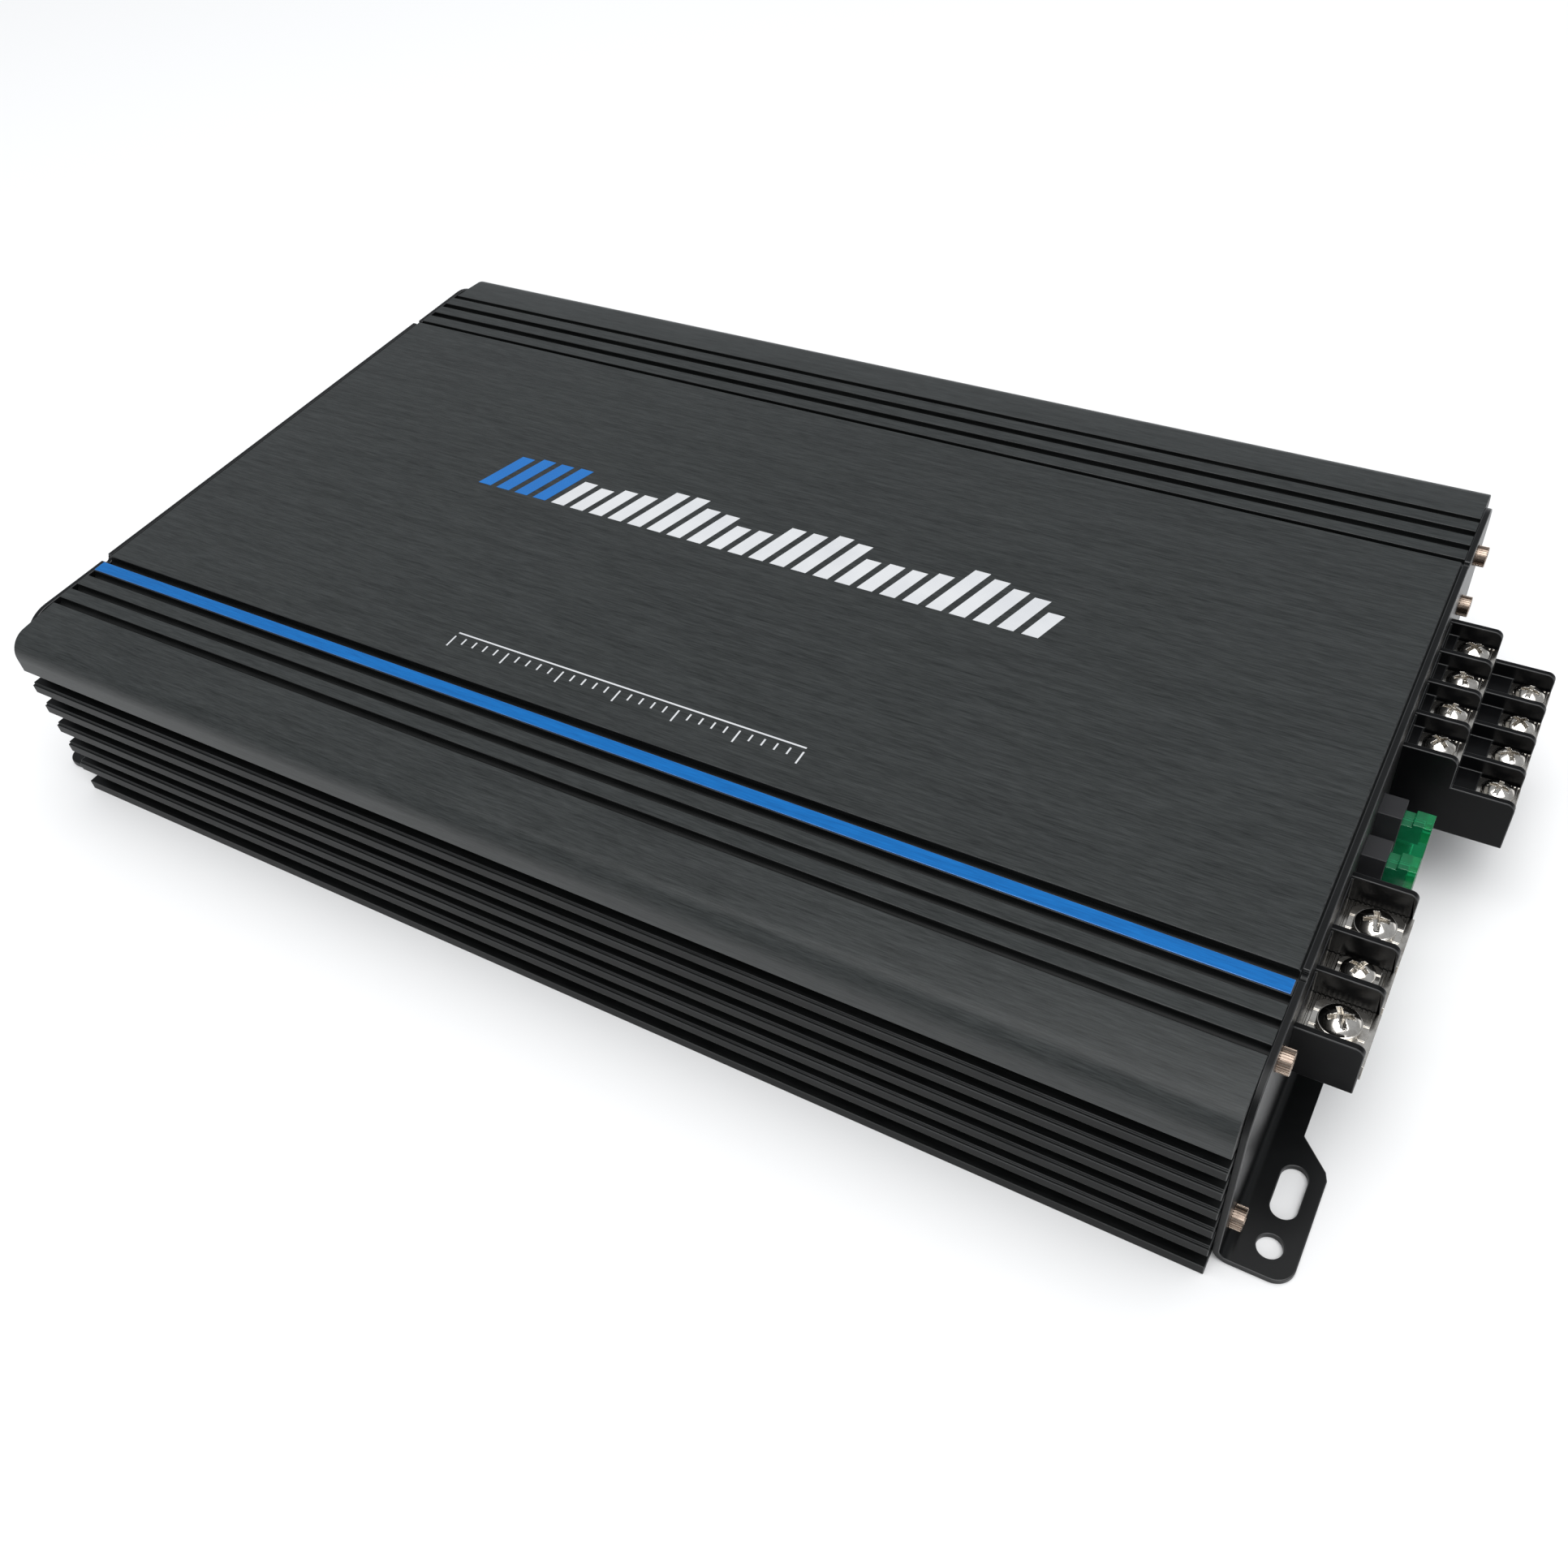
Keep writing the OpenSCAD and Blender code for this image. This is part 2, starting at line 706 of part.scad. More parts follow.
module fuse_clips() {
    color([0.72, 0.6, 0.34]) for (i = [0, 1], side = [-1, 1]) {
        y = fuse_y + i * fuse_pitch;
        z = fuse_z + side * blade_z;
        tail_y = y + side * 1.35;
        difference() {
            block([holder_in, y - 1.25, z - 2.8], [149, y + 1.25, z + 2.8]);
            block([blade_tip - 1, y - blade_t / 2 - 0.05, z - 3], [150, y + blade_t / 2 + 0.05, z + 3]);
        }
        block([holder_in - 0.9, tail_y - 1.1, board_z - 1], [holder_in, tail_y + 1.1, z + 2.8]);
    }
}

module fuse_housing(number) {
    y = fuse_y + (number - 1) * fuse_pitch;
    color([0.05, 0.5, 0.22, 0.75]) difference() {
        union() {
            block([fuse_neck, y - fuse_t / 2, fuse_z - fuse_head_w / 2],
                  [fuse_out, y + fuse_t / 2, fuse_z + fuse_head_w / 2]);
            block([fuse_root, y - fuse_t / 2, fuse_z - fuse_body_w / 2],
                  [fuse_neck, y + fuse_t / 2, fuse_z + fuse_body_w / 2]);
        }
        for (side = [-1, 1]) {
            z = fuse_z + side * blade_z;
            block([fuse_root - 1, y - blade_t / 2, z - blade_w / 2],
                  [fuse_out - 1.6, y + blade_t / 2, z + blade_w / 2]);
            // Test window in the head
            block([fuse_out - 1.7, y - 0.6, z - 1.5], [fuse_out + 1, y + 0.6, z + 1.5]);
            // Recess on both faces, behind which the link shows
            block([fuse_root + 3, y + side * fuse_t / 2 - 0.7, fuse_z - 3.4],
                  [fuse_out - 2.6, y + side * fuse_t / 2 + 0.7, fuse_z + 3.4]);
        }
        block([fuse_root + 4, y - blade_t / 2, fuse_z - 4], [fuse_root + 6, y + blade_t / 2, fuse_z + 4]);
    }
}

module fuse_element(number) {
    y = fuse_y + (number - 1) * fuse_pitch;
    color([0.78, 0.78, 0.76]) {
        for (side = [-1, 1]) {
            z = fuse_z + side * blade_z;
            block([blade_tip, y - blade_t / 2, z - blade_w / 2],
                  [fuse_out - 1.6, y + blade_t / 2, z + blade_w / 2]);
        }
        block([fuse_root + 4, y - blade_t / 2, fuse_z - 4], [fuse_root + 6, y + blade_t / 2, fuse_z + 4]);
    }
}

// ---- Input end, drawn on +X and mirrored to its place

module at_input_end() {
    mirror([1, 0, 0]) children();
}

module rca_housing() {
    color([0.06, 0.06, 0.065]) at_input_end() difference() {
        union() {
            block([end_x - 14, rca_ys[0] - 8, board_top], [end_x, rca_ys[1] + 8, rca_zs[1] + 8]);
            for (y = rca_ys, z = rca_zs) {
                translate([0, y, z]) cyl_x(rca_r + 1.2, end_x - 1, face_x + 1.2);
            }
        }
        for (y = rca_ys, z = rca_zs) {
            translate([0, y, z]) cyl_x(rca_r, end_x - 4, face_x + 3);
        }
    }
}

module rca_sleeves() {
    color([0.83, 0.78, 0.62]) at_input_end() for (y = rca_ys, z = rca_zs) {
        translate([0, y, z]) difference() {
            cyl_x(rca_r, end_x - 4, face_x + rca_reach);
            cyl_x(3.4, end_x - 5, face_x + rca_reach + 1);
        }
    }
}

module rca_insulators() {
    at_input_end() for (y = rca_ys, z = rca_zs) {
        color(z == rca_zs[0] ? [0.7, 0.05, 0.05] : [0.85, 0.85, 0.83])
        translate([0, y, z]) difference() {
            cyl_x(3.4, end_x - 4, face_x + rca_reach - 1.6);
            cyl_x(2.1, end_x - 5, face_x + rca_reach);
        }
    }
}

module rca_contacts() {
    color([0.8, 0.68, 0.35]) at_input_end() for (y = rca_ys, z = rca_zs) {
        translate([0, y, z]) difference() {
            cyl_x(2.1, end_x - 4, face_x + rca_reach - 1.8);
            cyl_x(1.6, end_x - 2, face_x + rca_reach);
        }
    }
}

module remote_port() {
    color([0.08, 0.08, 0.085]) at_input_end() difference() {
        union() {
            block([end_x - 13, port[0] - port[2] / 2, port[1] - port[3] / 2],
                  [face_x + 0.6, port[0] + port[2] / 2, port[1] + port[3] / 2]);
            block([end_x - 13, port[0] - port[2] / 2, board_top],
                  [end_x - 6, port[0] + port[2] / 2, port[1]]);
        }
        block([end_x - 11, port[0] - 4.6, port[1] - 3.6], [face_x + 2, port[0] + 4.6, port[1] + 2.6]);
        block([end_x - 11, port[0] - 1.8, port[1] - 3.6], [face_x + 2, port[0] + 1.8, port[1] + 4]);
    }
}

module knob(number) {
    out = face_x + 6.2;
    color([0.07, 0.07, 0.075]) at_input_end() translate([0, knob_ys[number], knob_z]) difference() {
        union() {
            cyl_x(knob_r - 0.35, face_x + 0.6, out);
            for (turn = [0 : 15 : 345]) {
                rotate([turn, 0, 0]) translate([0, knob_r - 0.45, 0]) cyl_x(0.45, face_x + 0.6, out - 0.5);
            }
            cyl_x(spindle_r, end_x - 6, face_x + 1);
        }
        // Screwdriver slot and pointer groove
        block([out - 0.8, -0.5, -2.2], [out + 1, 0.5, 2.2]);
        block([out - 0.4, -0.35, 2.2], [out + 1, 0.35, 5]);
    }
}

module pot_bodies() {
    color([0.3, 0.32, 0.3]) at_input_end() for (y = knob_ys) {
        difference() {
            union() {
                block([end_x - 12, y - 5, knob_z - 6], [end_x - 2, y + 5, knob_z + 6]);
                translate([0, y, knob_z]) cyl_x(3.9, end_x - 3, end_x - 0.3);
                block([end_x - 11, y - 3, board_top], [end_x - 9.8, y + 3, knob_z]);
            }
            translate([0, y, knob_z]) cyl_x(spindle_r + fit, end_x - 6.4, end_x + 2);
        }
    }
}

// Levers rest at one end (mode) or in the middle (filters) of their travel
module lever(number) {
    y = switch_ys[number] + (number == 2 ? -2 : 0);
    color([0.88, 0.88, 0.86]) at_input_end() {
        block([end_x - 3.6, y - 2.4, switch_z - 1.1], [end_x - 1.4, y + 2.4, switch_z + 1.1]);
        block([end_x - 2, y - 1.5, switch_z - 1.1], [face_x + 2.6, y + 1.5, switch_z + 1.1]);
    }
}

module switch_bodies() {
    color([0.7, 0.7, 0.69]) at_input_end() for (y = switch_ys) {
        difference() {
            block([end_x - 7, y - 6.5, board_top], [end_x - 0.4, y + 6.5, switch_z + 3]);
            block([end_x - 3.9, y - 4.8, switch_z - 1.3], [end_x - 1.2, y + 4.8, switch_z + 1.3]);
            block([end_x - 2, y - 4.4, switch_z - 1.3], [end_x + 1, y + 4.4, switch_z + 1.3]);
        }
    }
}

module led(number) {
    color(number == 0 ? [0.2, 0.5, 0.95] : [0.9, 0.12, 0.1]) at_input_end()
    translate([0, led_ys[number], led_z]) rotate([0, 90, 0]) union() {
        translate([0, 0, end_x - 5]) cylinder(r = led_r, h = sheet_t + 5.2);
        translate([0, 0, face_x + 0.2]) sphere(led_r);
        translate([0, 0, end_x - 5]) cylinder(r = led_r + 0.4, h = 1);
    }
}

// ---- Electronics

module toroid_core() {
    color([0.35, 0.34, 0.32]) translate([toroid[0], toroid[1], board_top + 2.6]) rotate_extrude()
        translate([12, 0]) square([8, 16]);
}

module toroid_winding() {
    color([0.72, 0.42, 0.18])
    translate([toroid[0], toroid[1], board_top + 0.1]) rotate_extrude() difference() {
        union() {
            translate([10, 2]) square([12, 17]);
            translate([12, 0]) square([8, 21]);
            for (x = [12, 20], z = [2, 19]) {
                translate([x, z]) circle(2);
            }
        }
        translate([11.9, 2.4]) square([8.2, 16.2]);
    }
}

module filter_capacitors() {
    color([0.1, 0.12, 0.2]) for (y = capacitor_ys) {
        translate([capacitor_x, y, board_top]) difference() {
            cylinder(d = 22, h = 31);
            translate([0, 0, 30.6]) cylinder(d = 19, h = 1);
            translate([0, 0, 2.6]) rotate_extrude() translate([11.3, 0]) circle(0.8);
        }
    }
}

module output_coils() {
    color([0.7, 0.36, 0.12]) for (y = coil_ys) {
        translate([coil_x, y, board_top]) difference() {
            cylinder(d = 11.6, h = 13);
            translate([0, 0, -1]) cylinder(d = 5, h = 15);
            for (k = [1 : 8]) {
                translate([0, 0, k * 1.45]) rotate_extrude() translate([6, 0]) circle(0.4);
            }
        }
    }
}

module driver_chips() {
    color([0.08, 0.08, 0.09]) for (x = chip_xs) {
        both_sides() {
            block([x - 10, 26.8, board_top + 0.4], [x + 10, 33.2, board_top + 3.9]);
            for (pin = [0 : 6], edge = [-1, 1]) {
                block([x - 8 + pin * 2.54 - 0.25, 30 + edge * 3.6 - 0.5, board_top],
                      [x - 8 + pin * 2.54 + 0.25, 30 + edge * 3.6 + 0.5, board_top + 2]);
            }
        }
    }
}

module power_transistors() {
    tab_y1 = wall_in - 0.3;
    color([0.1, 0.1, 0.1]) for (x = transistor_xs) {
        both_sides() {
            block([x - 5, 79, 17], [x + 5, tab_y1 - 0.01, 26.4]);
            block([x - 5, tab_y1 - 1.3, 26], [x + 5, tab_y1, 33]);
            for (lead = [-2.54, 0, 2.54]) {
                block([x + lead - 0.4, 80.2, board_z - 1], [x + lead + 0.4, 80.8, 17.2]);
            }
        }
    }
}

module thermal_pads() {
    color([0.6, 0.62, 0.66]) both_sides() difference() {
        block([-104, wall_in - 0.3, 16], [80, wall_in, 34]);
        for (x = clamp_screw_xs) {
            translate([x, wall_in - 1, clamp_screw_z]) rotate([-90, 0, 0]) cylinder(r = 1.9, h = 3);
        }
    }
}

module transistor_clamps() {
    color([0.55, 0.55, 0.53]) both_sides() difference() {
        block([-104, clamp_y, 18.3], [80, 79, 25.3]);
        for (x = clamp_screw_xs) {
            translate([x, clamp_y - 1, clamp_screw_z]) rotate([-90, 0, 0]) cylinder(r = 1.7, h = 5);
        }
    }
}

heatsink();
accent_strip();
power_end_plate();
input_end_plate();
bottom_cover();
end_plate_screws();
bottom_cover_screws();
inner_screws();
board_bracket();
circuit_board();
board_standoffs();
speaker_block();
speaker_contacts();
speaker_screw(1);  // speaker_screw_1
speaker_screw(2);  // speaker_screw_2
speaker_screw(3);  // speaker_screw_3
speaker_screw(4);  // speaker_screw_4
speaker_screw(5);  // speaker_screw_5
speaker_screw(6);  // speaker_screw_6
speaker_screw(7);  // speaker_screw_7
speaker_screw(8);  // speaker_screw_8
power_block();
power_contacts();
clamp_washer(0);  // ground_washer
clamp_washer(1);  // remote_washer
clamp_washer(2);  // battery_washer
power_screw(0);  // ground_screw
power_screw(1);  // remote_screw
power_screw(2);  // battery_screw
fuse_holders();
fuse_clips();
fuse_housing(1);  // fuse_1_housing
fuse_element(1);  // fuse_1_element
fuse_housing(2);  // fuse_2_housing
fuse_element(2);  // fuse_2_element
rca_housing();
rca_sleeves();
rca_insulators();
rca_contacts();
remote_port();
knob(0);  // front_gain_knob
knob(1);  // front_crossover_knob
knob(2);  // rear_gain_knob
knob(3);  // rear_crossover_knob
knob(4);  // bass_boost_knob
pot_bodies();
lever(0);  // front_filter_lever
lever(1);  // rear_filter_lever
lever(2);  // input_mode_lever
switch_bodies();
led(0);  // power_led
led(1);  // protect_led
toroid_core();
toroid_winding();
filter_capacitors();
output_coils();
driver_chips();
power_transistors();
thermal_pads();
transistor_clamps();
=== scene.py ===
import json
import math
import bpy
import bmesh
from mathutils import Matrix, Vector

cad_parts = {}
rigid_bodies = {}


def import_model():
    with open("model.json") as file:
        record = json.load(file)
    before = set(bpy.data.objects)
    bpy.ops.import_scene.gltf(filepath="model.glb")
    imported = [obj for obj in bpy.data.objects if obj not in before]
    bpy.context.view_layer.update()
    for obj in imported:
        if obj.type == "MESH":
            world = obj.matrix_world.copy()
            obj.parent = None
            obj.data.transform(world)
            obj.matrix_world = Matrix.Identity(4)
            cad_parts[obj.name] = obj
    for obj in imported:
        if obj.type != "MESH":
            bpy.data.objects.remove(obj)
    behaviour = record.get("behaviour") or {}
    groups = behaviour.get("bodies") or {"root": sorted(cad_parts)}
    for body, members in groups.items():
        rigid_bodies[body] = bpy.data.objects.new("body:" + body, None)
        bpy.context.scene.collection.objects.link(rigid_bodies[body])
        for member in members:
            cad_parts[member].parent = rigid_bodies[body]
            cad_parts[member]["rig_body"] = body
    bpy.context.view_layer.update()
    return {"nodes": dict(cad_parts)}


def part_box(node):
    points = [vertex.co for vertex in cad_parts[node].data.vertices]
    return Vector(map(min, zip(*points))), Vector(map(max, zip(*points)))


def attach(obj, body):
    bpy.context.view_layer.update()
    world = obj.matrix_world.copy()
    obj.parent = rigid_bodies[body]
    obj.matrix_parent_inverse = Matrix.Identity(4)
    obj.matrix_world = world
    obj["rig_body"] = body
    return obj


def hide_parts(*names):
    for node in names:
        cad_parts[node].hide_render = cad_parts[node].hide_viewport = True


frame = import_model()
nodes = frame["nodes"]
mm = 0.001
merge = {"weld": 0.001 * mm, "flatAngle": 0.4}
print("frame loaded:", len(nodes), "nodes")


# selecting, shaping and finishing

def onlySelect(obj):
    bpy.ops.object.select_all(action="DESELECT")
    obj.select_set(True)
    bpy.context.view_layer.objects.active = obj


def applyPlace(obj):
    onlySelect(obj)
    bpy.ops.object.transform_apply(location=True, rotation=True, scale=True)


def bodyOf(node):
    return nodes[node]["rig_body"]


def pickFaces(obj, test):  # stays in edit mode, with the chosen faces selected
    onlySelect(obj)
    bpy.ops.object.mode_set(mode="EDIT")
    bpy.ops.mesh.select_mode(type="FACE")
    bpy.ops.mesh.select_all(action="DESELECT")
    shape = bmesh.from_edit_mesh(obj.data)
    for face in shape.faces:
        if test(face):
            face.select_set(True)
    bmesh.update_edit_mesh(obj.data)


def leaveEdit():
    bpy.ops.object.mode_set(mode="OBJECT")


def addBevel(obj, width, segments=2, angle=32, edgeSlot=-1, clamp=False):
    onlySelect(obj)
    bpy.ops.object.shade_smooth()
    bevel = obj.modifiers.new("softEdge", "BEVEL")
    bevel.width = width
    bevel.segments = segments
    bevel.limit_method = "ANGLE"
    bevel.angle_limit = math.radians(angle)
    bevel.use_clamp_overlap = clamp
    bevel.harden_normals = True
    # the bevel faces take the material in edgeSlot; where that is a lighter copy, it is a painted edge
    # highlight
    bevel.material = edgeSlot
    bpy.ops.object.modifier_apply(modifier=bevel.name)


def setMaterials(obj, *materials):
    obj.data.materials.clear()
    for material in materials:
        obj.data.materials.append(material)
    onlySelect(obj)


def joinAll(parts, name):
    bpy.ops.object.select_all(action="DESELECT")
    for part in parts:
        part.select_set(True)
    bpy.context.view_layer.objects.active = parts[0]
    if len(parts) > 1:
        bpy.ops.object.join()
    whole = bpy.context.view_layer.objects.active
    whole.name = name
    return whole


def copyPart(part):
    twin = part.copy()
    twin.data = part.data.copy()
    bpy.context.scene.collection.objects.link(twin)
    return twin


def dropInnerFaces(obj):  # where two solids of one node touch, both of the shared faces lie inside
    spots = {}
    for face in obj.data.polygons:
        spot = tuple(round(value / merge["weld"]) for value in face.center)
        spots.setdefault(spot, []).append(face.index)
    shared = {index for group in spots.values() if len(group) > 1 for index in group}
    if shared:
        pickFaces(obj, lambda face: face.index in shared)
        bpy.ops.mesh.delete(type="FACE")
        leaveEdit()


def mergedCopy(node, name):  # the frame's mesh is loose triangles, so a copy is merged into clean faces
    copy = bpy.data.objects.new(name, nodes[node].data.copy())
    bpy.context.scene.collection.objects.link(copy)
    dropInnerFaces(copy)
    onlySelect(copy)
    bpy.ops.object.mode_set(mode="EDIT")
    bpy.ops.mesh.select_all(action="SELECT")
    bpy.ops.mesh.remove_doubles(threshold=merge["weld"])
    bpy.ops.mesh.dissolve_limited(angle_limit=math.radians(merge["flatAngle"]))
    leaveEdit()
    bpy.ops.mesh.customdata_custom_splitnormals_clear()
    return copy


def softCopy(node, name, width, *materials, clamp=False):
    piece = mergedCopy(node, name)
    setMaterials(piece, *materials)
    for face in piece.data.polygons:
        face.material_index = 0
    addBevel(piece, width, edgeSlot=len(materials) - 1, clamp=clamp)
    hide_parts(node)
    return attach(piece, bodyOf(node))


def solidsOf(node):  # the box of each separate solid in a node
    shape = bmesh.new()
    shape.from_mesh(nodes[node].data)
    bmesh.ops.remove_doubles(shape, verts=shape.verts, dist=merge["weld"])
    left = set(shape.verts)
    boxes = []
    while left:
        reach = [left.pop()]
        solid = list(reach)
        while reach:
            vert = reach.pop()
            for edge in vert.link_edges:
                other = edge.other_vert(vert)
                if other in left:
                    left.remove(other)
                    reach.append(other)
                    solid.append(other)
        low = Vector([min(v.co[i] for v in solid) for i in range(3)])
        high = Vector([max(v.co[i] for v in solid) for i in range(3)])
        boxes.append((low, high))
    shape.free()
    return boxes


# shader effects, each in its own node group

def newGroup(name, inputs, outputs):
    group = bpy.data.node_groups.new(name, "ShaderNodeTree")
    for label, kind, value in inputs:
        socket = group.interface.new_socket(label, in_out="INPUT", socket_type=kind)
        socket.default_value = value
    for label, kind in outputs:
        group.interface.new_socket(label, in_out="OUTPUT", socket_type=kind)
    start = group.nodes.new("NodeGroupInput")
    end = group.nodes.new("NodeGroupOutput")
    start.location = (-1000, 0)
    end.location = (600, 0)
    return group, start, end


def addNode(tree, kind, x, y, **settings):
    node = tree.nodes.new(kind)
    node.location = (x, y)
    for name, value in settings.items():
        setattr(node, name, value)
    return node


def noiseField(tree, x, y, scale, detail=3, roughness=0.55, vector=None):
    noise = addNode(tree, "ShaderNodeTexNoise", x, y)
    noise.inputs["Scale"].default_value = scale
    noise.inputs["Detail"].default_value = detail
    noise.inputs["Roughness"].default_value = roughness
    if vector:
        tree.links.new(vector, noise.inputs["Vector"])
    return noise.outputs["Fac"]


def mathNode(tree, x, y, operation, first, second):
    node = addNode(tree, "ShaderNodeMath", x, y, operation=operation)
    for socket, value in zip(node.inputs, (first, second)):
        if isinstance(value, (int, float)):
            socket.default_value = value
        else:
            tree.links.new(value, socket)
    return node.outputs[0]


def remap(tree, x, y, value, low, high, newLow, newHigh):
    node = addNode(tree, "ShaderNodeMapRange", x, y)
    tree.links.new(value, node.inputs["Value"])
    for label, number in (("From Min", low), ("From Max", high), ("To Min", newLow), ("To Max", newHigh)):
        if isinstance(number, (int, float)):
            node.inputs[label].default_value = number
        else:
            tree.links.new(number, node.inputs[label])
    return node.outputs["Result"]


def mixColors(tree, x, y, factor, first, second):
    node = addNode(tree, "ShaderNodeMix", x, y, data_type="RGBA")
    tree.links.new(factor, node.inputs[0])
    tree.links.new(first, node.inputs[6])  # the sockets before these are for plain numbers
    tree.links.new(second, node.inputs[7])
    return node.outputs[2]


def objectPlace(tree, x, y):
    return addNode(tree, "ShaderNodeTexCoord", x, y).outputs["Object"]


def brushedGroup():  # fine lines along X, as a belt leaves them
    group, start, end = newGroup(
        "brushedLines",
        [("Dark", "NodeSocketColor", (0.02, 0.02, 0.02, 1)),
         ("Light", "NodeSocketColor", (0.05, 0.05, 0.05, 1)),
         ("Length", "NodeSocketFloat", 45.0), ("Fineness", "NodeSocketFloat", 1700.0),
         ("Roughness", "NodeSocketFloat", 0.38), ("Spread", "NodeSocketFloat", 0.12)],
        [("Color", "NodeSocketColor"), ("Roughness", "NodeSocketFloat"), ("Height", "NodeSocketFloat")])
    place = objectPlace(group, -1000, 300)
    stretch = addNode(group, "ShaderNodeCombineXYZ", -800, 100)
    group.links.new(start.outputs["Length"], stretch.inputs["X"])
    group.links.new(start.outputs["Fineness"], stretch.inputs["Y"])
    group.links.new(start.outputs["Fineness"], stretch.inputs["Z"])
    lines = addNode(group, "ShaderNodeVectorMath", -600, 200, operation="MULTIPLY")
    group.links.new(place, lines.inputs[0])
    group.links.new(stretch.outputs[0], lines.inputs[1])
    fine = noiseField(group, -400, 300, 1.0, 4, 0.7, lines.outputs[0])
    broad = noiseField(group, -400, 0, 0.24, 2, 0.5, lines.outputs[0])
    cloud = noiseField(group, -400, -300, 22.0, 2, 0.5, place)
    both = mathNode(group, -200, 150, "MULTIPLY", fine, 0.72)
    both = mathNode(group, -50, 150, "ADD", both, mathNode(group, -200, 0, "MULTIPLY", broad, 0.28))
    mask = remap(group, 100, 200, both, 0.33, 0.67, 0.0, 1.0)
    group.links.new(mixColors(group, 300, 200, mask, start.outputs["Dark"], start.outputs["Light"]),
                    end.inputs["Color"])
    uneven = mathNode(group, 100, -100, "MULTIPLY", mathNode(group, -50, -200, "SUBTRACT", cloud, 0.5),
                      start.outputs["Spread"])
    lined = mathNode(group, 100, -250, "MULTIPLY", mathNode(group, -50, -350, "SUBTRACT", both, 0.5),
                     start.outputs["Spread"])
    total = mathNode(group, 300, -150, "ADD", uneven, lined)
    group.links.new(mathNode(group, 450, -150, "ADD", total, start.outputs["Roughness"]),
                    end.inputs["Roughness"])
    group.links.new(both, end.inputs["Height"])
    return group


def skinGroup():  # painted and moulded surfaces: fine pebbles, faint smears
    group, start, end = newGroup(
        "pebbledSkin",
        [("Base", "NodeSocketColor", (0.03, 0.03, 0.03, 1)),
         ("Faded", "NodeSocketColor", (0.05, 0.05, 0.05, 1)),
         ("Pebbles", "NodeSocketFloat", 2200.0), ("Roughness", "NodeSocketFloat", 0.4),
         ("Spread", "NodeSocketFloat", 0.12)],
        [("Color", "NodeSocketColor"), ("Roughness", "NodeSocketFloat"), ("Height", "NodeSocketFloat")])
    place = objectPlace(group, -1000, 300)
    pebbles = addNode(group, "ShaderNodeTexVoronoi", -500, 300, feature="SMOOTH_F1")
    group.links.new(place, pebbles.inputs["Vector"])
    group.links.new(start.outputs["Pebbles"], pebbles.inputs["Scale"])
    smear = noiseField(group, -500, 0, 55.0, 5, 0.6, place)
    mask = remap(group, -200, 0, smear, 0.4, 0.75, 0.0, 1.0)
    group.links.new(mixColors(group, 100, 200, mask, start.outputs["Base"], start.outputs["Faded"]),
                    end.inputs["Color"])
    uneven = mathNode(group, 0, -100, "MULTIPLY", mathNode(group, -200, -200, "SUBTRACT", smear, 0.5),
                      start.outputs["Spread"])
    group.links.new(mathNode(group, 200, -100, "ADD", uneven, start.outputs["Roughness"]),
                    end.inputs["Roughness"])
    group.links.new(pebbles.outputs["Distance"], end.inputs["Height"])
    return group


def platedGroup():  # plated metal: cloudy tint, hairline scratches
    group, start, end = newGroup(
        "platedMetal",
        [("Bright", "NodeSocketColor", (0.8, 0.78, 0.74, 1)),
         ("Dull", "NodeSocketColor", (0.5, 0.47, 0.42, 1)),
         ("Roughness", "NodeSocketFloat", 0.2), ("Spread", "NodeSocketFloat", 0.15)],
        [("Color", "NodeSocketColor"), ("Roughness", "NodeSocketFloat"), ("Height", "NodeSocketFloat")])
    place = objectPlace(group, -1000, 300)
    cloud = noiseField(group, -500, 300, 380.0, 4, 0.6, place)
    turn = addNode(group, "ShaderNodeMapping", -800, -100)
    turn.inputs["Rotation"].default_value = (0.3, 0.2, 0.7)
    turn.inputs["Scale"].default_value = (90, 2400, 1800)
    group.links.new(place, turn.inputs["Vector"])
    scratch = noiseField(group, -500, 0, 1.0, 3, 0.6, turn.outputs[0])
    mask = remap(group, -200, 200, cloud, 0.42, 0.72, 0.0, 1.0)
    group.links.new(mixColors(group, 100, 200, mask, start.outputs["Bright"], start.outputs["Dull"]),
                    end.inputs["Color"])
    mixed = mathNode(group, -200, -50, "MULTIPLY", mathNode(group, -350, -50, "ADD", cloud, scratch), 0.5)
    uneven = mathNode(group, 0, -50, "MULTIPLY", mathNode(group, -100, -150, "SUBTRACT", mixed, 0.45),
                      start.outputs["Spread"])
    group.links.new(mathNode(group, 200, -50, "ADD", uneven, start.outputs["Roughness"]),
                    end.inputs["Roughness"])
    group.links.new(scratch, end.inputs["Height"])
    return group


groups = {"brushed": brushedGroup(), "skin": skinGroup(), "plated": platedGroup()}


def gradedMaterial(name, effect, values, relief=0.1, reliefDepth=0.02 * mm, **shader):
    material = bpy.data.materials.new(name)
    material.use_nodes = True
    tree = material.node_tree
    surface = tree.nodes["Principled BSDF"]
    look = addNode(tree, "ShaderNodeGroup", -500, 200, node_tree=groups[effect])
    for label, value in values.items():
        look.inputs[label].default_value = value
    tree.links.new(look.outputs["Color"], surface.inputs["Base Color"])
    tree.links.new(look.outputs["Roughness"], surface.inputs["Roughness"])
    if relief:
        bump = addNode(tree, "ShaderNodeBump", -250, -200)
        bump.inputs["Strength"].default_value = relief
        bump.inputs["Distance"].default_value = reliefDepth
        tree.links.new(look.outputs["Height"], bump.inputs["Height"])
        tree.links.new(bump.outputs[0], surface.inputs["Normal"])
    for label, value in shader.items():
        surface.inputs[label].default_value = value
    return material


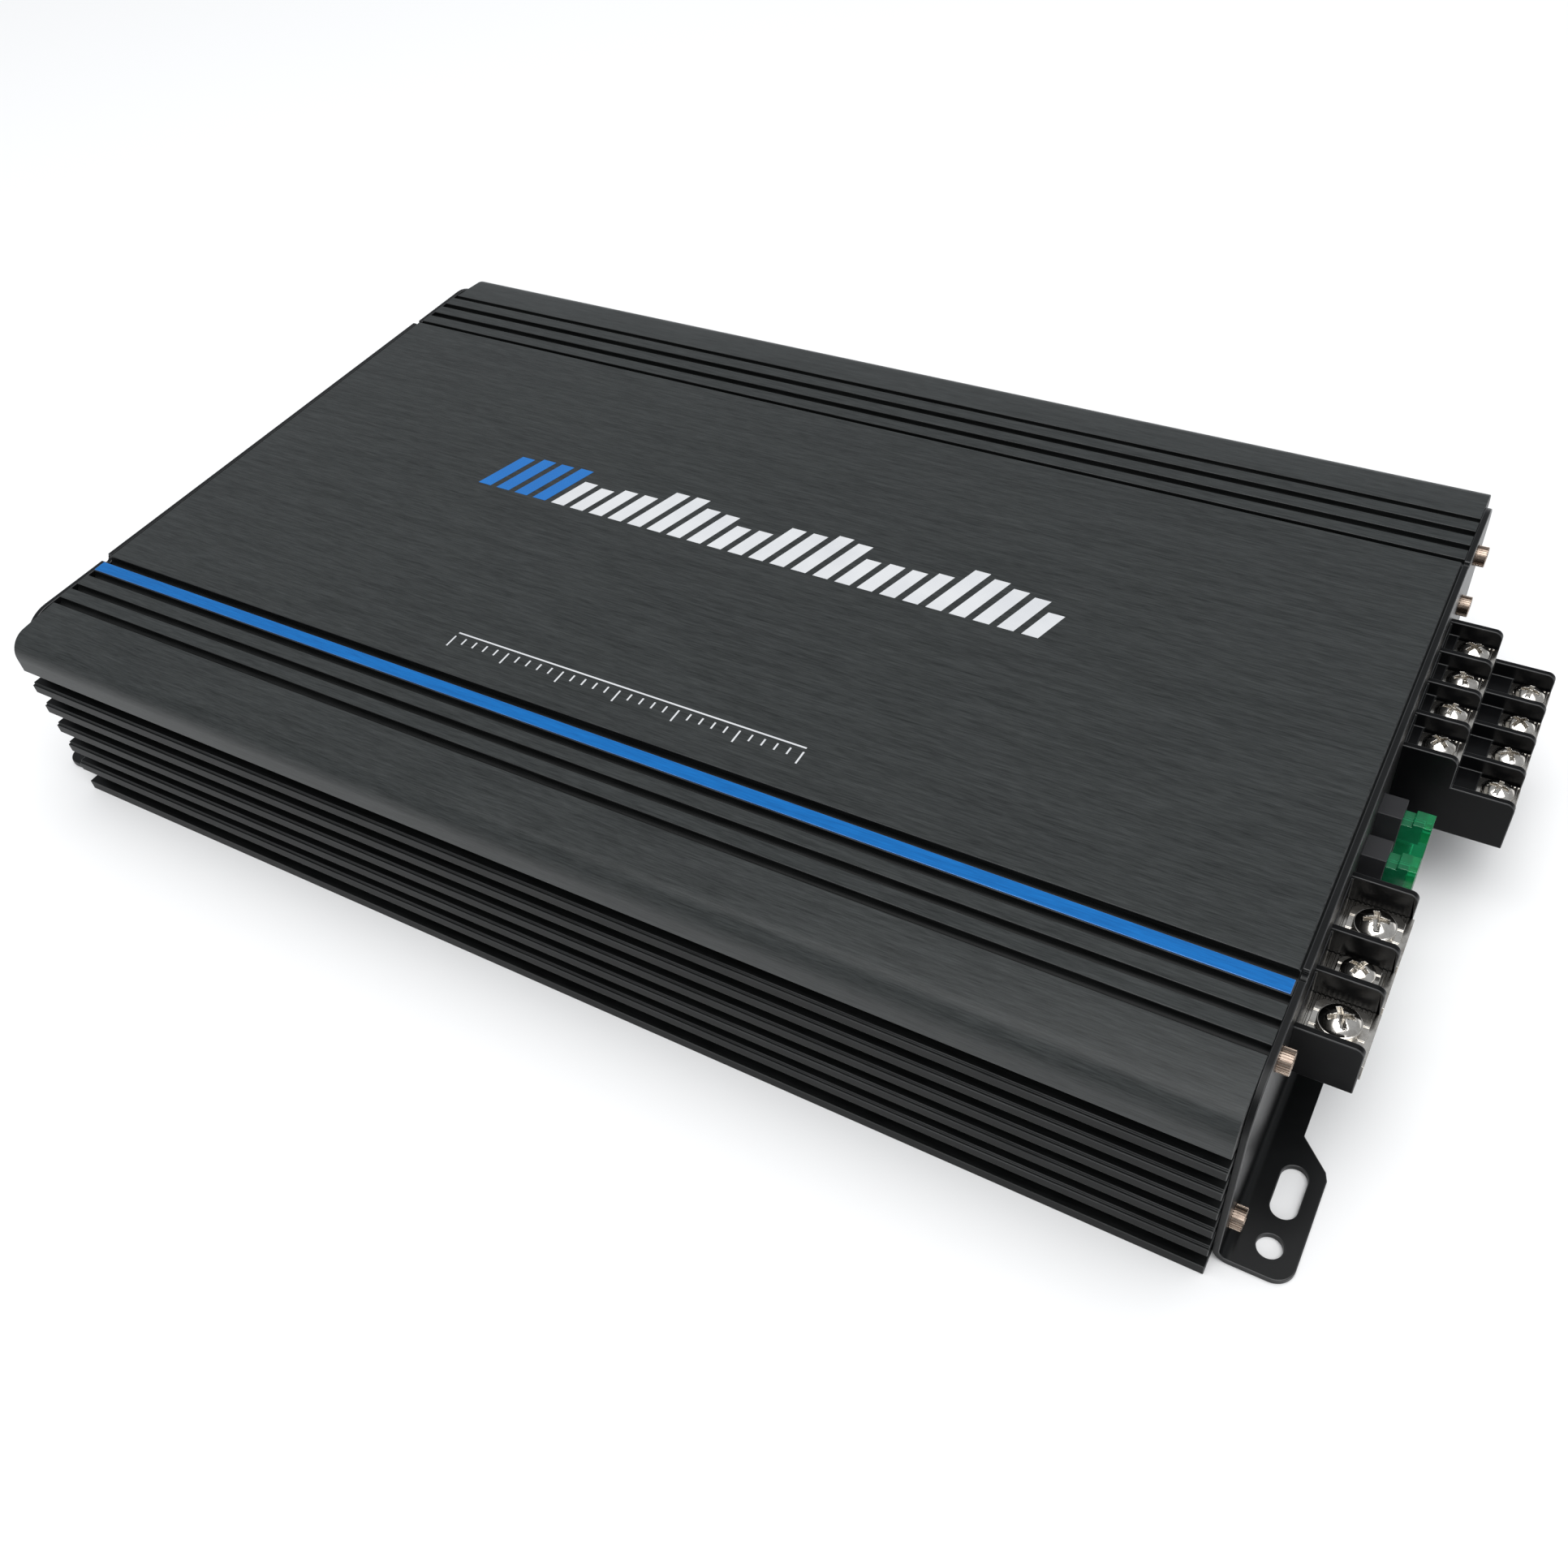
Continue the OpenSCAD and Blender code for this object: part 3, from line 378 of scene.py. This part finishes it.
materials = {
    "topMetal": gradedMaterial(
        "blackAnodisedBrushed", "brushed",
        {"Dark": (0.0125, 0.0142, 0.0142, 1), "Light": (0.04, 0.0437, 0.0437, 1), "Length": 210,
         "Fineness": 3600, "Roughness": 0.36, "Spread": 0.2},
        relief=0.3, reliefDepth=0.025 * mm, Metallic=0.0, **{"Specular IOR Level": 0.22}),
    # a much darker copy of the black anodising, matt, for grooves, ends and fins: painted shade
    "mattShadedBlack": gradedMaterial(
        "blackAnodisedMattPaintedShade", "brushed",
        {"Dark": (0.0025, 0.0028, 0.0028, 1), "Light": (0.009, 0.0096, 0.0096, 1), "Length": 150,
         "Fineness": 2200, "Roughness": 0.42, "Spread": 0.15},
        relief=0.2, reliefDepth=0.02 * mm, Metallic=0.0, **{"Specular IOR Level": 0.12}),
    # a lighter copy of the black for bevel faces: painted edge highlight
    "edgeHighlightBlack": gradedMaterial(
        "blackAnodisedPaintedHighlight", "brushed",
        {"Dark": (0.016, 0.017, 0.017, 1), "Light": (0.05, 0.052, 0.052, 1), "Length": 60, "Fineness": 900,
         "Roughness": 0.34, "Spread": 0.15},
        relief=0.1, reliefDepth=0.02 * mm, Metallic=0.3, **{"Specular IOR Level": 0.3}),
    "blueMetal": gradedMaterial(
        "blueAnodised", "brushed",
        {"Dark": (0.002, 0.09, 0.3, 1), "Light": (0.004, 0.14, 0.44, 1), "Length": 210, "Fineness": 3600,
         "Roughness": 0.36, "Spread": 0.12},
        relief=0.15, reliefDepth=0.02 * mm, Metallic=0.0, **{"Specular IOR Level": 0.2}),
    # a lighter blue for the stripe's bevel faces: painted edge highlight
    "blueEdgeHighlight": gradedMaterial(
        "blueAnodisedPaintedHighlight", "brushed",
        {"Dark": (0.06, 0.16, 0.42, 1), "Light": (0.12, 0.28, 0.6, 1), "Length": 60, "Fineness": 900,
         "Roughness": 0.3, "Spread": 0.1},
        Metallic=0.5),
    "satinSteel": gradedMaterial(
        "satinBlackPaint", "skin",
        {"Base": (0.0035, 0.0038, 0.004, 1), "Faded": (0.006, 0.0064, 0.0068, 1), "Pebbles": 1500,
         "Roughness": 0.34, "Spread": 0.12},
        relief=0.12, reliefDepth=0.03 * mm, **{"Specular IOR Level": 0.2}),
    # a lighter black for the bevels of the painted plates and moulded blocks: painted edge highlight
    "blackEdgeHighlight": gradedMaterial(
        "satinBlackPaintedHighlight", "skin",
        {"Base": (0.013, 0.0135, 0.014, 1), "Faded": (0.024, 0.0245, 0.025, 1), "Pebbles": 1500,
         "Roughness": 0.3, "Spread": 0.12},
        relief=0.1, reliefDepth=0.03 * mm),
    "blockPlastic": gradedMaterial(
        "mouldedBlack", "skin",
        {"Base": (0.0022, 0.0023, 0.0026, 1), "Faded": (0.0048, 0.005, 0.0055, 1), "Pebbles": 2600,
         "Roughness": 0.3, "Spread": 0.16},
        relief=0.16, reliefDepth=0.03 * mm, **{"Specular IOR Level": 0.13}),
    "greyPlastic": gradedMaterial(
        "mouldedCharcoal", "skin",
        {"Base": (0.014, 0.014, 0.0155, 1), "Faded": (0.022, 0.022, 0.024, 1), "Pebbles": 2400,
         "Roughness": 0.42, "Spread": 0.16},
        relief=0.2, reliefDepth=0.03 * mm, **{"Specular IOR Level": 0.35}),
    "whitePlastic": gradedMaterial(
        "mouldedWhite", "skin",
        {"Base": (0.68, 0.68, 0.66, 1), "Faded": (0.6, 0.6, 0.57, 1), "Pebbles": 2400, "Roughness": 0.36,
         "Spread": 0.1},
        relief=0.1, reliefDepth=0.03 * mm),
    "nickel": gradedMaterial(
        "brightNickel", "plated",
        {"Bright": (0.74, 0.71, 0.66, 1), "Dull": (0.42, 0.39, 0.35, 1), "Roughness": 0.14, "Spread": 0.22},
        relief=0.2, reliefDepth=0.03 * mm, Metallic=1.0),
    "darkNickel": gradedMaterial(
        "darkNickel", "plated",
        {"Bright": (0.42, 0.34, 0.28, 1), "Dull": (0.22, 0.17, 0.14, 1), "Roughness": 0.26, "Spread": 0.2},
        relief=0.15, reliefDepth=0.02 * mm, Metallic=1.0),
    "zinc": gradedMaterial(
        "zincPlate", "plated",
        {"Bright": (0.6, 0.6, 0.6, 1), "Dull": (0.42, 0.43, 0.44, 1), "Roughness": 0.34, "Spread": 0.2},
        relief=0.15, reliefDepth=0.02 * mm, Metallic=1.0),
    "brass": gradedMaterial(
        "bareBrass", "plated",
        {"Bright": (0.8, 0.58, 0.24, 1), "Dull": (0.58, 0.4, 0.16, 1), "Roughness": 0.26, "Spread": 0.2},
        relief=0.12, reliefDepth=0.02 * mm, Metallic=1.0),
    "copperWire": gradedMaterial(
        "enamelledCopper", "plated",
        {"Bright": (0.62, 0.2, 0.06, 1), "Dull": (0.42, 0.13, 0.04, 1), "Roughness": 0.3, "Spread": 0.2},
        relief=0.3, reliefDepth=0.1 * mm, Metallic=0.8),
    "boardMask": gradedMaterial(
        "greenSolderMask", "skin",
        {"Base": (0.01, 0.09, 0.035, 1), "Faded": (0.014, 0.13, 0.05, 1), "Pebbles": 900, "Roughness": 0.32,
         "Spread": 0.1},
        relief=0.15, reliefDepth=0.04 * mm),
    "fuseGreen": gradedMaterial(
        "clearGreen", "skin",
        {"Base": (0.008, 0.42, 0.14, 1), "Faded": (0.05, 0.66, 0.3, 1), "Pebbles": 900, "Roughness": 0.1,
         "Spread": 0.06},
        relief=0.05, reliefDepth=0.03 * mm, **{"Transmission Weight": 0.8, "IOR": 1.45}),
    "ferrite": gradedMaterial(
        "pressedFerrite", "skin",
        {"Base": (0.06, 0.058, 0.055, 1), "Faded": (0.1, 0.097, 0.09, 1), "Pebbles": 1800, "Roughness": 0.7,
         "Spread": 0.1},
        relief=0.3, reliefDepth=0.05 * mm),
    "sleeveBlue": gradedMaterial(
        "capacitorSleeve", "skin",
        {"Base": (0.012, 0.02, 0.07, 1), "Faded": (0.02, 0.03, 0.1, 1), "Pebbles": 1200, "Roughness": 0.25,
         "Spread": 0.1},
        relief=0.08, reliefDepth=0.03 * mm),
    "chipBlack": gradedMaterial(
        "chipPackage", "skin",
        {"Base": (0.016, 0.016, 0.017, 1), "Faded": (0.026, 0.026, 0.027, 1), "Pebbles": 3000,
         "Roughness": 0.55, "Spread": 0.1},
        relief=0.25, reliefDepth=0.03 * mm),
    "padGrey": gradedMaterial(
        "siliconePad", "skin",
        {"Base": (0.3, 0.32, 0.35, 1), "Faded": (0.36, 0.38, 0.41, 1), "Pebbles": 1800, "Roughness": 0.7,
         "Spread": 0.1},
        relief=0.2, reliefDepth=0.03 * mm),
    "redPlastic": gradedMaterial(
        "mouldedRed", "skin",
        {"Base": (0.55, 0.012, 0.012, 1), "Faded": (0.62, 0.03, 0.025, 1), "Pebbles": 2400, "Roughness": 0.32,
         "Spread": 0.1},
        relief=0.1, reliefDepth=0.03 * mm),
    "lensBlue": gradedMaterial(
        "lensBlue", "skin",
        {"Base": (0.12, 0.35, 0.9, 1), "Faded": (0.16, 0.4, 0.95, 1), "Pebbles": 900, "Roughness": 0.12,
         "Spread": 0.05},
        relief=0.05, reliefDepth=0.02 * mm, **{"Transmission Weight": 0.6}),
    "lensRed": gradedMaterial(
        "lensRed", "skin",
        {"Base": (0.85, 0.06, 0.05, 1), "Faded": (0.9, 0.1, 0.08, 1), "Pebbles": 900, "Roughness": 0.12,
         "Spread": 0.05},
        relief=0.05, reliefDepth=0.02 * mm, **{"Transmission Weight": 0.6}),
    "printBlue": gradedMaterial(
        "silkPrintBlue", "skin",
        {"Base": (0.003, 0.14, 0.46, 1), "Faded": (0.004, 0.12, 0.4, 1), "Pebbles": 2600, "Roughness": 0.42,
         "Spread": 0.12},
        relief=0.15, reliefDepth=0.02 * mm),
    "printWhite": gradedMaterial(
        "silkPrintWhite", "skin",
        {"Base": (0.62, 0.63, 0.64, 1), "Faded": (0.54, 0.55, 0.57, 1), "Pebbles": 2600, "Roughness": 0.42,
         "Spread": 0.12},
        relief=0.15, reliefDepth=0.02 * mm),
}
print("materials ready:", len(materials))


# housing

# limits of the belt and of the painted shade on the extrusion, and its bevel width
finish = {"grooveDrop": 0.6 * mm, "panelEdge": 61 * mm, "ribsEnd": 81.5 * mm, "shoulderFoot": 40.5 * mm,
          "endGap": 1 * mm, "bevel": 0.16 * mm}


def finishExtrusion():  # the belt reaches the panel, ribs and shoulders; grooves, ends and fins take a darker, matt copy of the black, which is painted shade, and the bevels a lighter copy, which is painted highlight
    extrusion = mergedCopy("heatsink", "finnedExtrusion")
    setMaterials(extrusion, materials["topMetal"], materials["mattShadedBlack"], materials["edgeHighlightBlack"])
    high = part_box("heatsink")[1]
    for face in extrusion.data.polygons:
        place = face.center
        inRibs = finish["panelEdge"] < abs(place.y) < finish["ribsEnd"]
        inGroove = inRibs and place.z < high.z - finish["grooveDrop"]
        isEnd = abs(place.x) > high.x - finish["endGap"]
        # slot 1 is the darker copy: painted shade in grooves, on the ends and on the fins
        face.material_index = 1 if inGroove or isEnd or place.z < finish["shoulderFoot"] else 0
    addBevel(extrusion, finish["bevel"], edgeSlot=2)
    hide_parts("heatsink")
    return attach(extrusion, bodyOf("heatsink"))


finishExtrusion()
softCopy("accent_strip", "blueStripe", 0.09 * mm, materials["blueMetal"], materials["blueEdgeHighlight"])
for node, name in (("power_end_plate", "powerEndPlate"), ("input_end_plate", "inputEndPlate")):
    softCopy(node, name, 0.22 * mm, materials["satinSteel"], materials["blackEdgeHighlight"])
softCopy("bottom_cover", "bottomCover", 0.1 * mm, materials["satinSteel"])
print("housing done")


# knurled cap screws, one shape copied to each hole

capScrew = {"headR": 2.38, "headLen": 2.4, "flutes": 30, "fluteDepth": 0.14, "rim": 0.2, "rimRise": 0.13,
            "socketR": 1.3, "socketDepth": 1.3, "shankR": 1.5, "shankSides": 24, "fluteLip": 0.05,
            "tipLip": 0.4, "tipRise": 0.1, "smoothAngle": 28, "turnPerMetre": 400}


def makeCapScrew(shankLen):  # in millimetres, head up; it is scaled when it is placed
    size = capScrew
    side = size["headLen"] - size["rimRise"]
    bpy.ops.mesh.primitive_cylinder_add(vertices=2 * size["flutes"], radius=size["headR"], depth=side,
                                        location=(0, 0, side / 2))
    head = bpy.context.object
    applyPlace(head)

    def everyOther(face):
        turn = round(math.atan2(face.normal.y, face.normal.x) / (math.pi / size["flutes"]) - 0.5)
        return abs(face.normal.z) < 0.5 and turn % 2 == 0
    pickFaces(head, everyOther)
    bpy.ops.mesh.inset(thickness=size["fluteLip"], use_individual=True)
    shrink = 1 - size["fluteDepth"] / size["headR"]
    bpy.ops.transform.resize(value=(shrink, shrink, 1), center_override=(0, 0, 0))
    leaveEdit()
    pickFaces(head, lambda face: face.normal.z > 0.9)
    bpy.ops.mesh.inset(thickness=size["rim"], depth=size["rimRise"])
    leaveEdit()
    bpy.ops.mesh.primitive_cylinder_add(vertices=6, radius=size["socketR"], depth=2 * size["socketDepth"],
                                        location=(0, 0, size["headLen"]))
    socket = bpy.context.object
    applyPlace(socket)
    onlySelect(head)
    cut = head.modifiers.new("hexSocket", "BOOLEAN")
    cut.operation = "DIFFERENCE"
    cut.object = socket
    bpy.ops.object.modifier_apply(modifier=cut.name)
    bpy.data.objects.remove(socket)
    bpy.ops.mesh.primitive_cylinder_add(vertices=size["shankSides"], radius=size["shankR"], depth=shankLen,
                                        location=(0, 0, -shankLen / 2))
    shank = bpy.context.object
    applyPlace(shank)
    pickFaces(shank, lambda face: face.normal.z < -0.9)
    bpy.ops.mesh.inset(thickness=size["tipLip"], depth=-size["tipRise"])
    leaveEdit()
    screw = joinAll([head, shank], "capScrew")
    bpy.ops.object.shade_smooth_by_angle(angle=math.radians(size["smoothAngle"]))
    return screw


def placeCapScrews():
    placed = []
    models = {}
    for low, high in solidsOf("end_plate_screws"):
        side = 1 if high.x > 0 else -1
        tip = high.x if side > 0 else low.x
        headLen = capScrew["headLen"] * mm
        shankLen = round((high.x - low.x - headLen) / mm, 2)
        if shankLen not in models:
            models[shankLen] = makeCapScrew(shankLen)
        screw = copyPart(models[shankLen])
        seat = Vector((tip - side * headLen, (low.y + high.y) / 2, (low.z + high.z) / 2))
        lie = Matrix.Rotation(side * math.pi / 2, 4, "Y")
        spin = Matrix.Rotation(low.z * capScrew["turnPerMetre"], 4, "Z")  # each row stops at another turn
        screw.matrix_world = Matrix.Translation(seat) @ (lie @ spin) @ Matrix.Scale(mm, 4)
        applyPlace(screw)
        placed.append(screw)
    for model in models.values():
        bpy.data.objects.remove(model)
    whole = joinAll(placed, "endPlateScrews")
    setMaterials(whole, materials["darkNickel"])
    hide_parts("end_plate_screws")
    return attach(whole, bodyOf("end_plate_screws"))


placeCapScrews()
softCopy("bottom_cover_screws", "bottomCoverScrews", 0.1 * mm, materials["darkNickel"])
print("screws done")


# terminals

for node, name in (("speaker_block", "speakerTerminalBlock"), ("power_block", "powerTerminalBlock")):
    # the blocks' bevels take the lighter black: painted edge highlight
    softCopy(node, name, 0.22 * mm, materials["blockPlastic"], materials["blackEdgeHighlight"])
softCopy("speaker_contacts", "speakerContacts", 0.07 * mm, materials["nickel"])
softCopy("power_contacts", "powerContacts", 0.07 * mm, materials["nickel"])
for i in range(1, 9):
    softCopy(f"speaker_screw_{i}", f"speakerScrew{i}", 0.1 * mm, materials["nickel"])
for bay in ("ground", "remote", "battery"):
    softCopy(f"{bay}_screw", f"{bay}Screw", 0.12 * mm, materials["nickel"])
    softCopy(f"{bay}_washer", f"{bay}Washer", 0.1 * mm, materials["nickel"])
print("terminals done")


# fuses

softCopy("fuse_holders", "fuseHolders", 0.2 * mm, materials["greyPlastic"])
for i in (1, 2):
    softCopy(f"fuse_{i}_housing", f"fuse{i}Housing", 0.16 * mm, materials["fuseGreen"])
    softCopy(f"fuse_{i}_element", f"fuse{i}Element", 0.05 * mm, materials["zinc"])
softCopy("fuse_clips", "fuseClips", 0.06 * mm, materials["brass"])
print("fuses done")


# input end

softCopy("rca_housing", "phonoHousing", 0.25 * mm, materials["blockPlastic"])
softCopy("rca_sleeves", "phonoSleeves", 0.12 * mm, materials["nickel"])
softCopy("rca_contacts", "phonoContacts", 0.08 * mm, materials["brass"])
rings = softCopy("rca_insulators", "phonoInsulators", 0.12 * mm, materials["whitePlastic"],
                 materials["redPlastic"])
middle = sum((corner.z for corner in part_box("rca_insulators")), 0.0) / 2
for face in rings.data.polygons:  # the lower row is red
    face.material_index = 1 if face.center.z < middle else 0
softCopy("remote_port", "remotePort", 0.2 * mm, materials["blockPlastic"])
for knob in ("front_gain", "front_crossover", "rear_gain", "rear_crossover", "bass_boost"):
    softCopy(f"{knob}_knob", knob.replace("_", " ").title().replace(" ", "") + "Knob", 0.12 * mm,
             materials["blockPlastic"], clamp=True)  # the flutes are too tight for a free bevel
for lever in ("front_filter", "rear_filter", "input_mode"):
    softCopy(f"{lever}_lever", lever.replace("_", " ").title().replace(" ", "") + "Lever", 0.15 * mm,
             materials["whitePlastic"])
softCopy("power_led", "powerLight", 0.05 * mm, materials["lensBlue"])
softCopy("protect_led", "protectLight", 0.05 * mm, materials["lensRed"])
print("input end done")


# inside parts keep the frame's own shapes

insideFinish = {
    "inner_screws": "zinc", "board_bracket": "zinc", "circuit_board": "boardMask", "board_standoffs": "brass",
    "pot_bodies": "zinc", "switch_bodies": "zinc", "toroid_core": "ferrite", "toroid_winding": "copperWire",
    "filter_capacitors": "sleeveBlue", "output_coils": "copperWire", "driver_chips": "chipBlack",
    "power_transistors": "chipBlack", "thermal_pads": "padGrey", "transistor_clamps": "zinc",
}
for node, look in insideFinish.items():
    for slot in nodes[node].material_slots:
        slot.material = materials[look]
print("inside done")


# printed marks on the panel: a level meter, a rule and its scale

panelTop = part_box("heatsink")[1].z
meter = {"left": -80 * mm, "bars": 27, "blueBars": 4, "pitch": 5.8 * mm, "bar": 3.9 * mm, "tall": 17 * mm,
         "base": 1.2 * mm, "lean": 0.3, "ink": 0.04 * mm}
rule = {"left": -46.5 * mm, "right": 45 * mm, "y": -49.6 * mm, "wide": 0.42 * mm, "ticks": 31,
        "tick": 2.0 * mm, "longTick": 3.6 * mm, "halfTick": 0.2 * mm, "gap": 1.2 * mm, "longEvery": 5}


def inkPatch(left, right, low, high, z, ink, lean=0.0):
    bpy.ops.mesh.primitive_plane_add(size=1, location=((left + right) / 2, (low + high) / 2, z))
    patch = bpy.context.object
    patch.scale = (right - left, high - low, 1)
    applyPlace(patch)
    pickFaces(patch, lambda face: True)
    bpy.ops.mesh.extrude_region_move(TRANSFORM_OT_translate={"value": (0, 0, ink)})
    leaveEdit()
    for vert in patch.data.vertices:
        vert.co.x += (vert.co.y - low) * lean
    return patch


def levelOf(i):  # rises and falls like music
    return 0.76 + 0.17 * math.sin(0.9 * i) + 0.07 * math.sin(2.3 * i + 1)


def printPanel():
    bars = []
    for i in range(meter["bars"]):
        left = meter["left"] + i * meter["pitch"]
        top = meter["base"] + meter["tall"] * levelOf(i)
        bars.append(inkPatch(left, left + meter["bar"], meter["base"], top, panelTop, meter["ink"],
                             meter["lean"]))
    bluePrint = joinAll(bars[:meter["blueBars"]], "levelMeterBlue")
    whitePrint = joinAll(bars[meter["blueBars"]:], "levelMeterWhite")
    patches = [inkPatch(rule["left"], rule["right"], rule["y"] - rule["wide"] / 2,
                        rule["y"] + rule["wide"] / 2, panelTop, meter["ink"])]
    for i in range(rule["ticks"]):
        x = rule["left"] + (rule["right"] - rule["left"]) * i / (rule["ticks"] - 1)
        size = rule["longTick"] if i % rule["longEvery"] == 0 else rule["tick"]
        top = rule["y"] - rule["gap"]
        patches.append(inkPatch(x - rule["halfTick"], x + rule["halfTick"], top - size, top, panelTop,
                                meter["ink"]))
    rulePrint = joinAll(patches, "rulePrint")
    for mark, ink in ((bluePrint, "printBlue"), (whitePrint, "printWhite"), (rulePrint, "printWhite")):
        setMaterials(mark, materials[ink])
        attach(mark, bodyOf("heatsink"))


printPanel()
print("printed marks done")


# scales printed round the knobs of the input plate

dial = {"knobs": ("front_gain", "front_crossover", "rear_gain", "rear_crossover", "bass_boost"), "ticks": 11,
        "sweep": 150, "radius": 5.9 * mm, "long": 1.5 * mm, "short": 0.9 * mm, "wide": 0.32 * mm,
        "sheet": 1.4 * mm, "ink": 0.04 * mm, "longEvery": 5}


def printDials():
    marks = []
    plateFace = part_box("heatsink")[0].x - dial["sheet"]
    for knob in dial["knobs"]:
        low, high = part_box(f"{knob}_knob")
        middle = (low + high) / 2
        for i in range(dial["ticks"]):
            turn = math.radians(dial["sweep"] * (2 * i / (dial["ticks"] - 1) - 1))
            size = dial["long"] if i % dial["longEvery"] == 0 else dial["short"]
            reach = dial["radius"] + size / 2
            place = (plateFace - dial["ink"] / 2, middle.y + reach * math.sin(turn),
                     middle.z + reach * math.cos(turn))
            bpy.ops.mesh.primitive_cube_add(size=1, location=place, rotation=(-turn, 0, 0))
            mark = bpy.context.object
            mark.scale = (dial["ink"], dial["wide"], size)
            applyPlace(mark)
            marks.append(mark)
    whole = joinAll(marks, "dialPrint")
    setMaterials(whole, materials["printWhite"])
    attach(whole, bodyOf("input_end_plate"))


printDials()
print("dials done")


# floor, light and camera

stage = {"floorSize": 12, "floorDrop": 0.02 * mm, "paper": (0.86, 0.86, 0.86, 1), "air": (0.93, 0.96, 1.0, 1),
         "airStrength": 0.45}


def makeFloor():
    bpy.ops.mesh.primitive_plane_add(size=stage["floorSize"], location=(0, 0, -stage["floorDrop"]))
    floor = bpy.context.object
    floor.name = "studioFloor"
    applyPlace(floor)
    paper = bpy.data.materials.new("palePaper")
    paper.use_nodes = True
    surface = paper.node_tree.nodes["Principled BSDF"]
    surface.inputs["Base Color"].default_value = stage["paper"]
    surface.inputs["Roughness"].default_value = 0.9
    surface.inputs["Specular IOR Level"].default_value = 0.1
    setMaterials(floor, paper)


def addSoftbox(name, place, target, width, height, watts):
    bpy.ops.object.light_add(type="AREA", location=place)
    lamp = bpy.context.object
    lamp.name = name
    lamp.data.shape = "RECTANGLE"
    lamp.data.size = width
    lamp.data.size_y = height
    lamp.data.energy = watts
    lamp.rotation_euler = (Vector(target) - Vector(place)).to_track_quat("-Z", "Y").to_euler()


makeFloor()
addSoftbox("topSoftbox", (0.3, -0.3, 2.4), (0, 0, 0), 2.6, 2.6, 66)
addSoftbox("frontSoftbox", (1.0, -1.2, 0.7), (0, 0, 0.03), 0.7, 0.5, 5)

sky = bpy.data.worlds.new("studioAir")
sky.use_nodes = True
air = sky.node_tree.nodes["Background"]
air.inputs["Color"].default_value = stage["air"]
air.inputs["Strength"].default_value = stage["airStrength"]
bpy.context.scene.world = sky

cameraView = {"place": (0.1644, -0.2334, 0.2676), "turn": (44.07, 4.943, 29.374), "lens": 34.2}
bpy.ops.object.camera_add(location=cameraView["place"],
                          rotation=[math.radians(angle) for angle in cameraView["turn"]])
camera = bpy.context.object
camera.data.lens = cameraView["lens"]
camera.data.sensor_width = 36
camera.data.clip_start = 0.01
bpy.context.scene.camera = camera
bpy.context.scene.view_settings.view_transform = "Standard"
print("stage done")
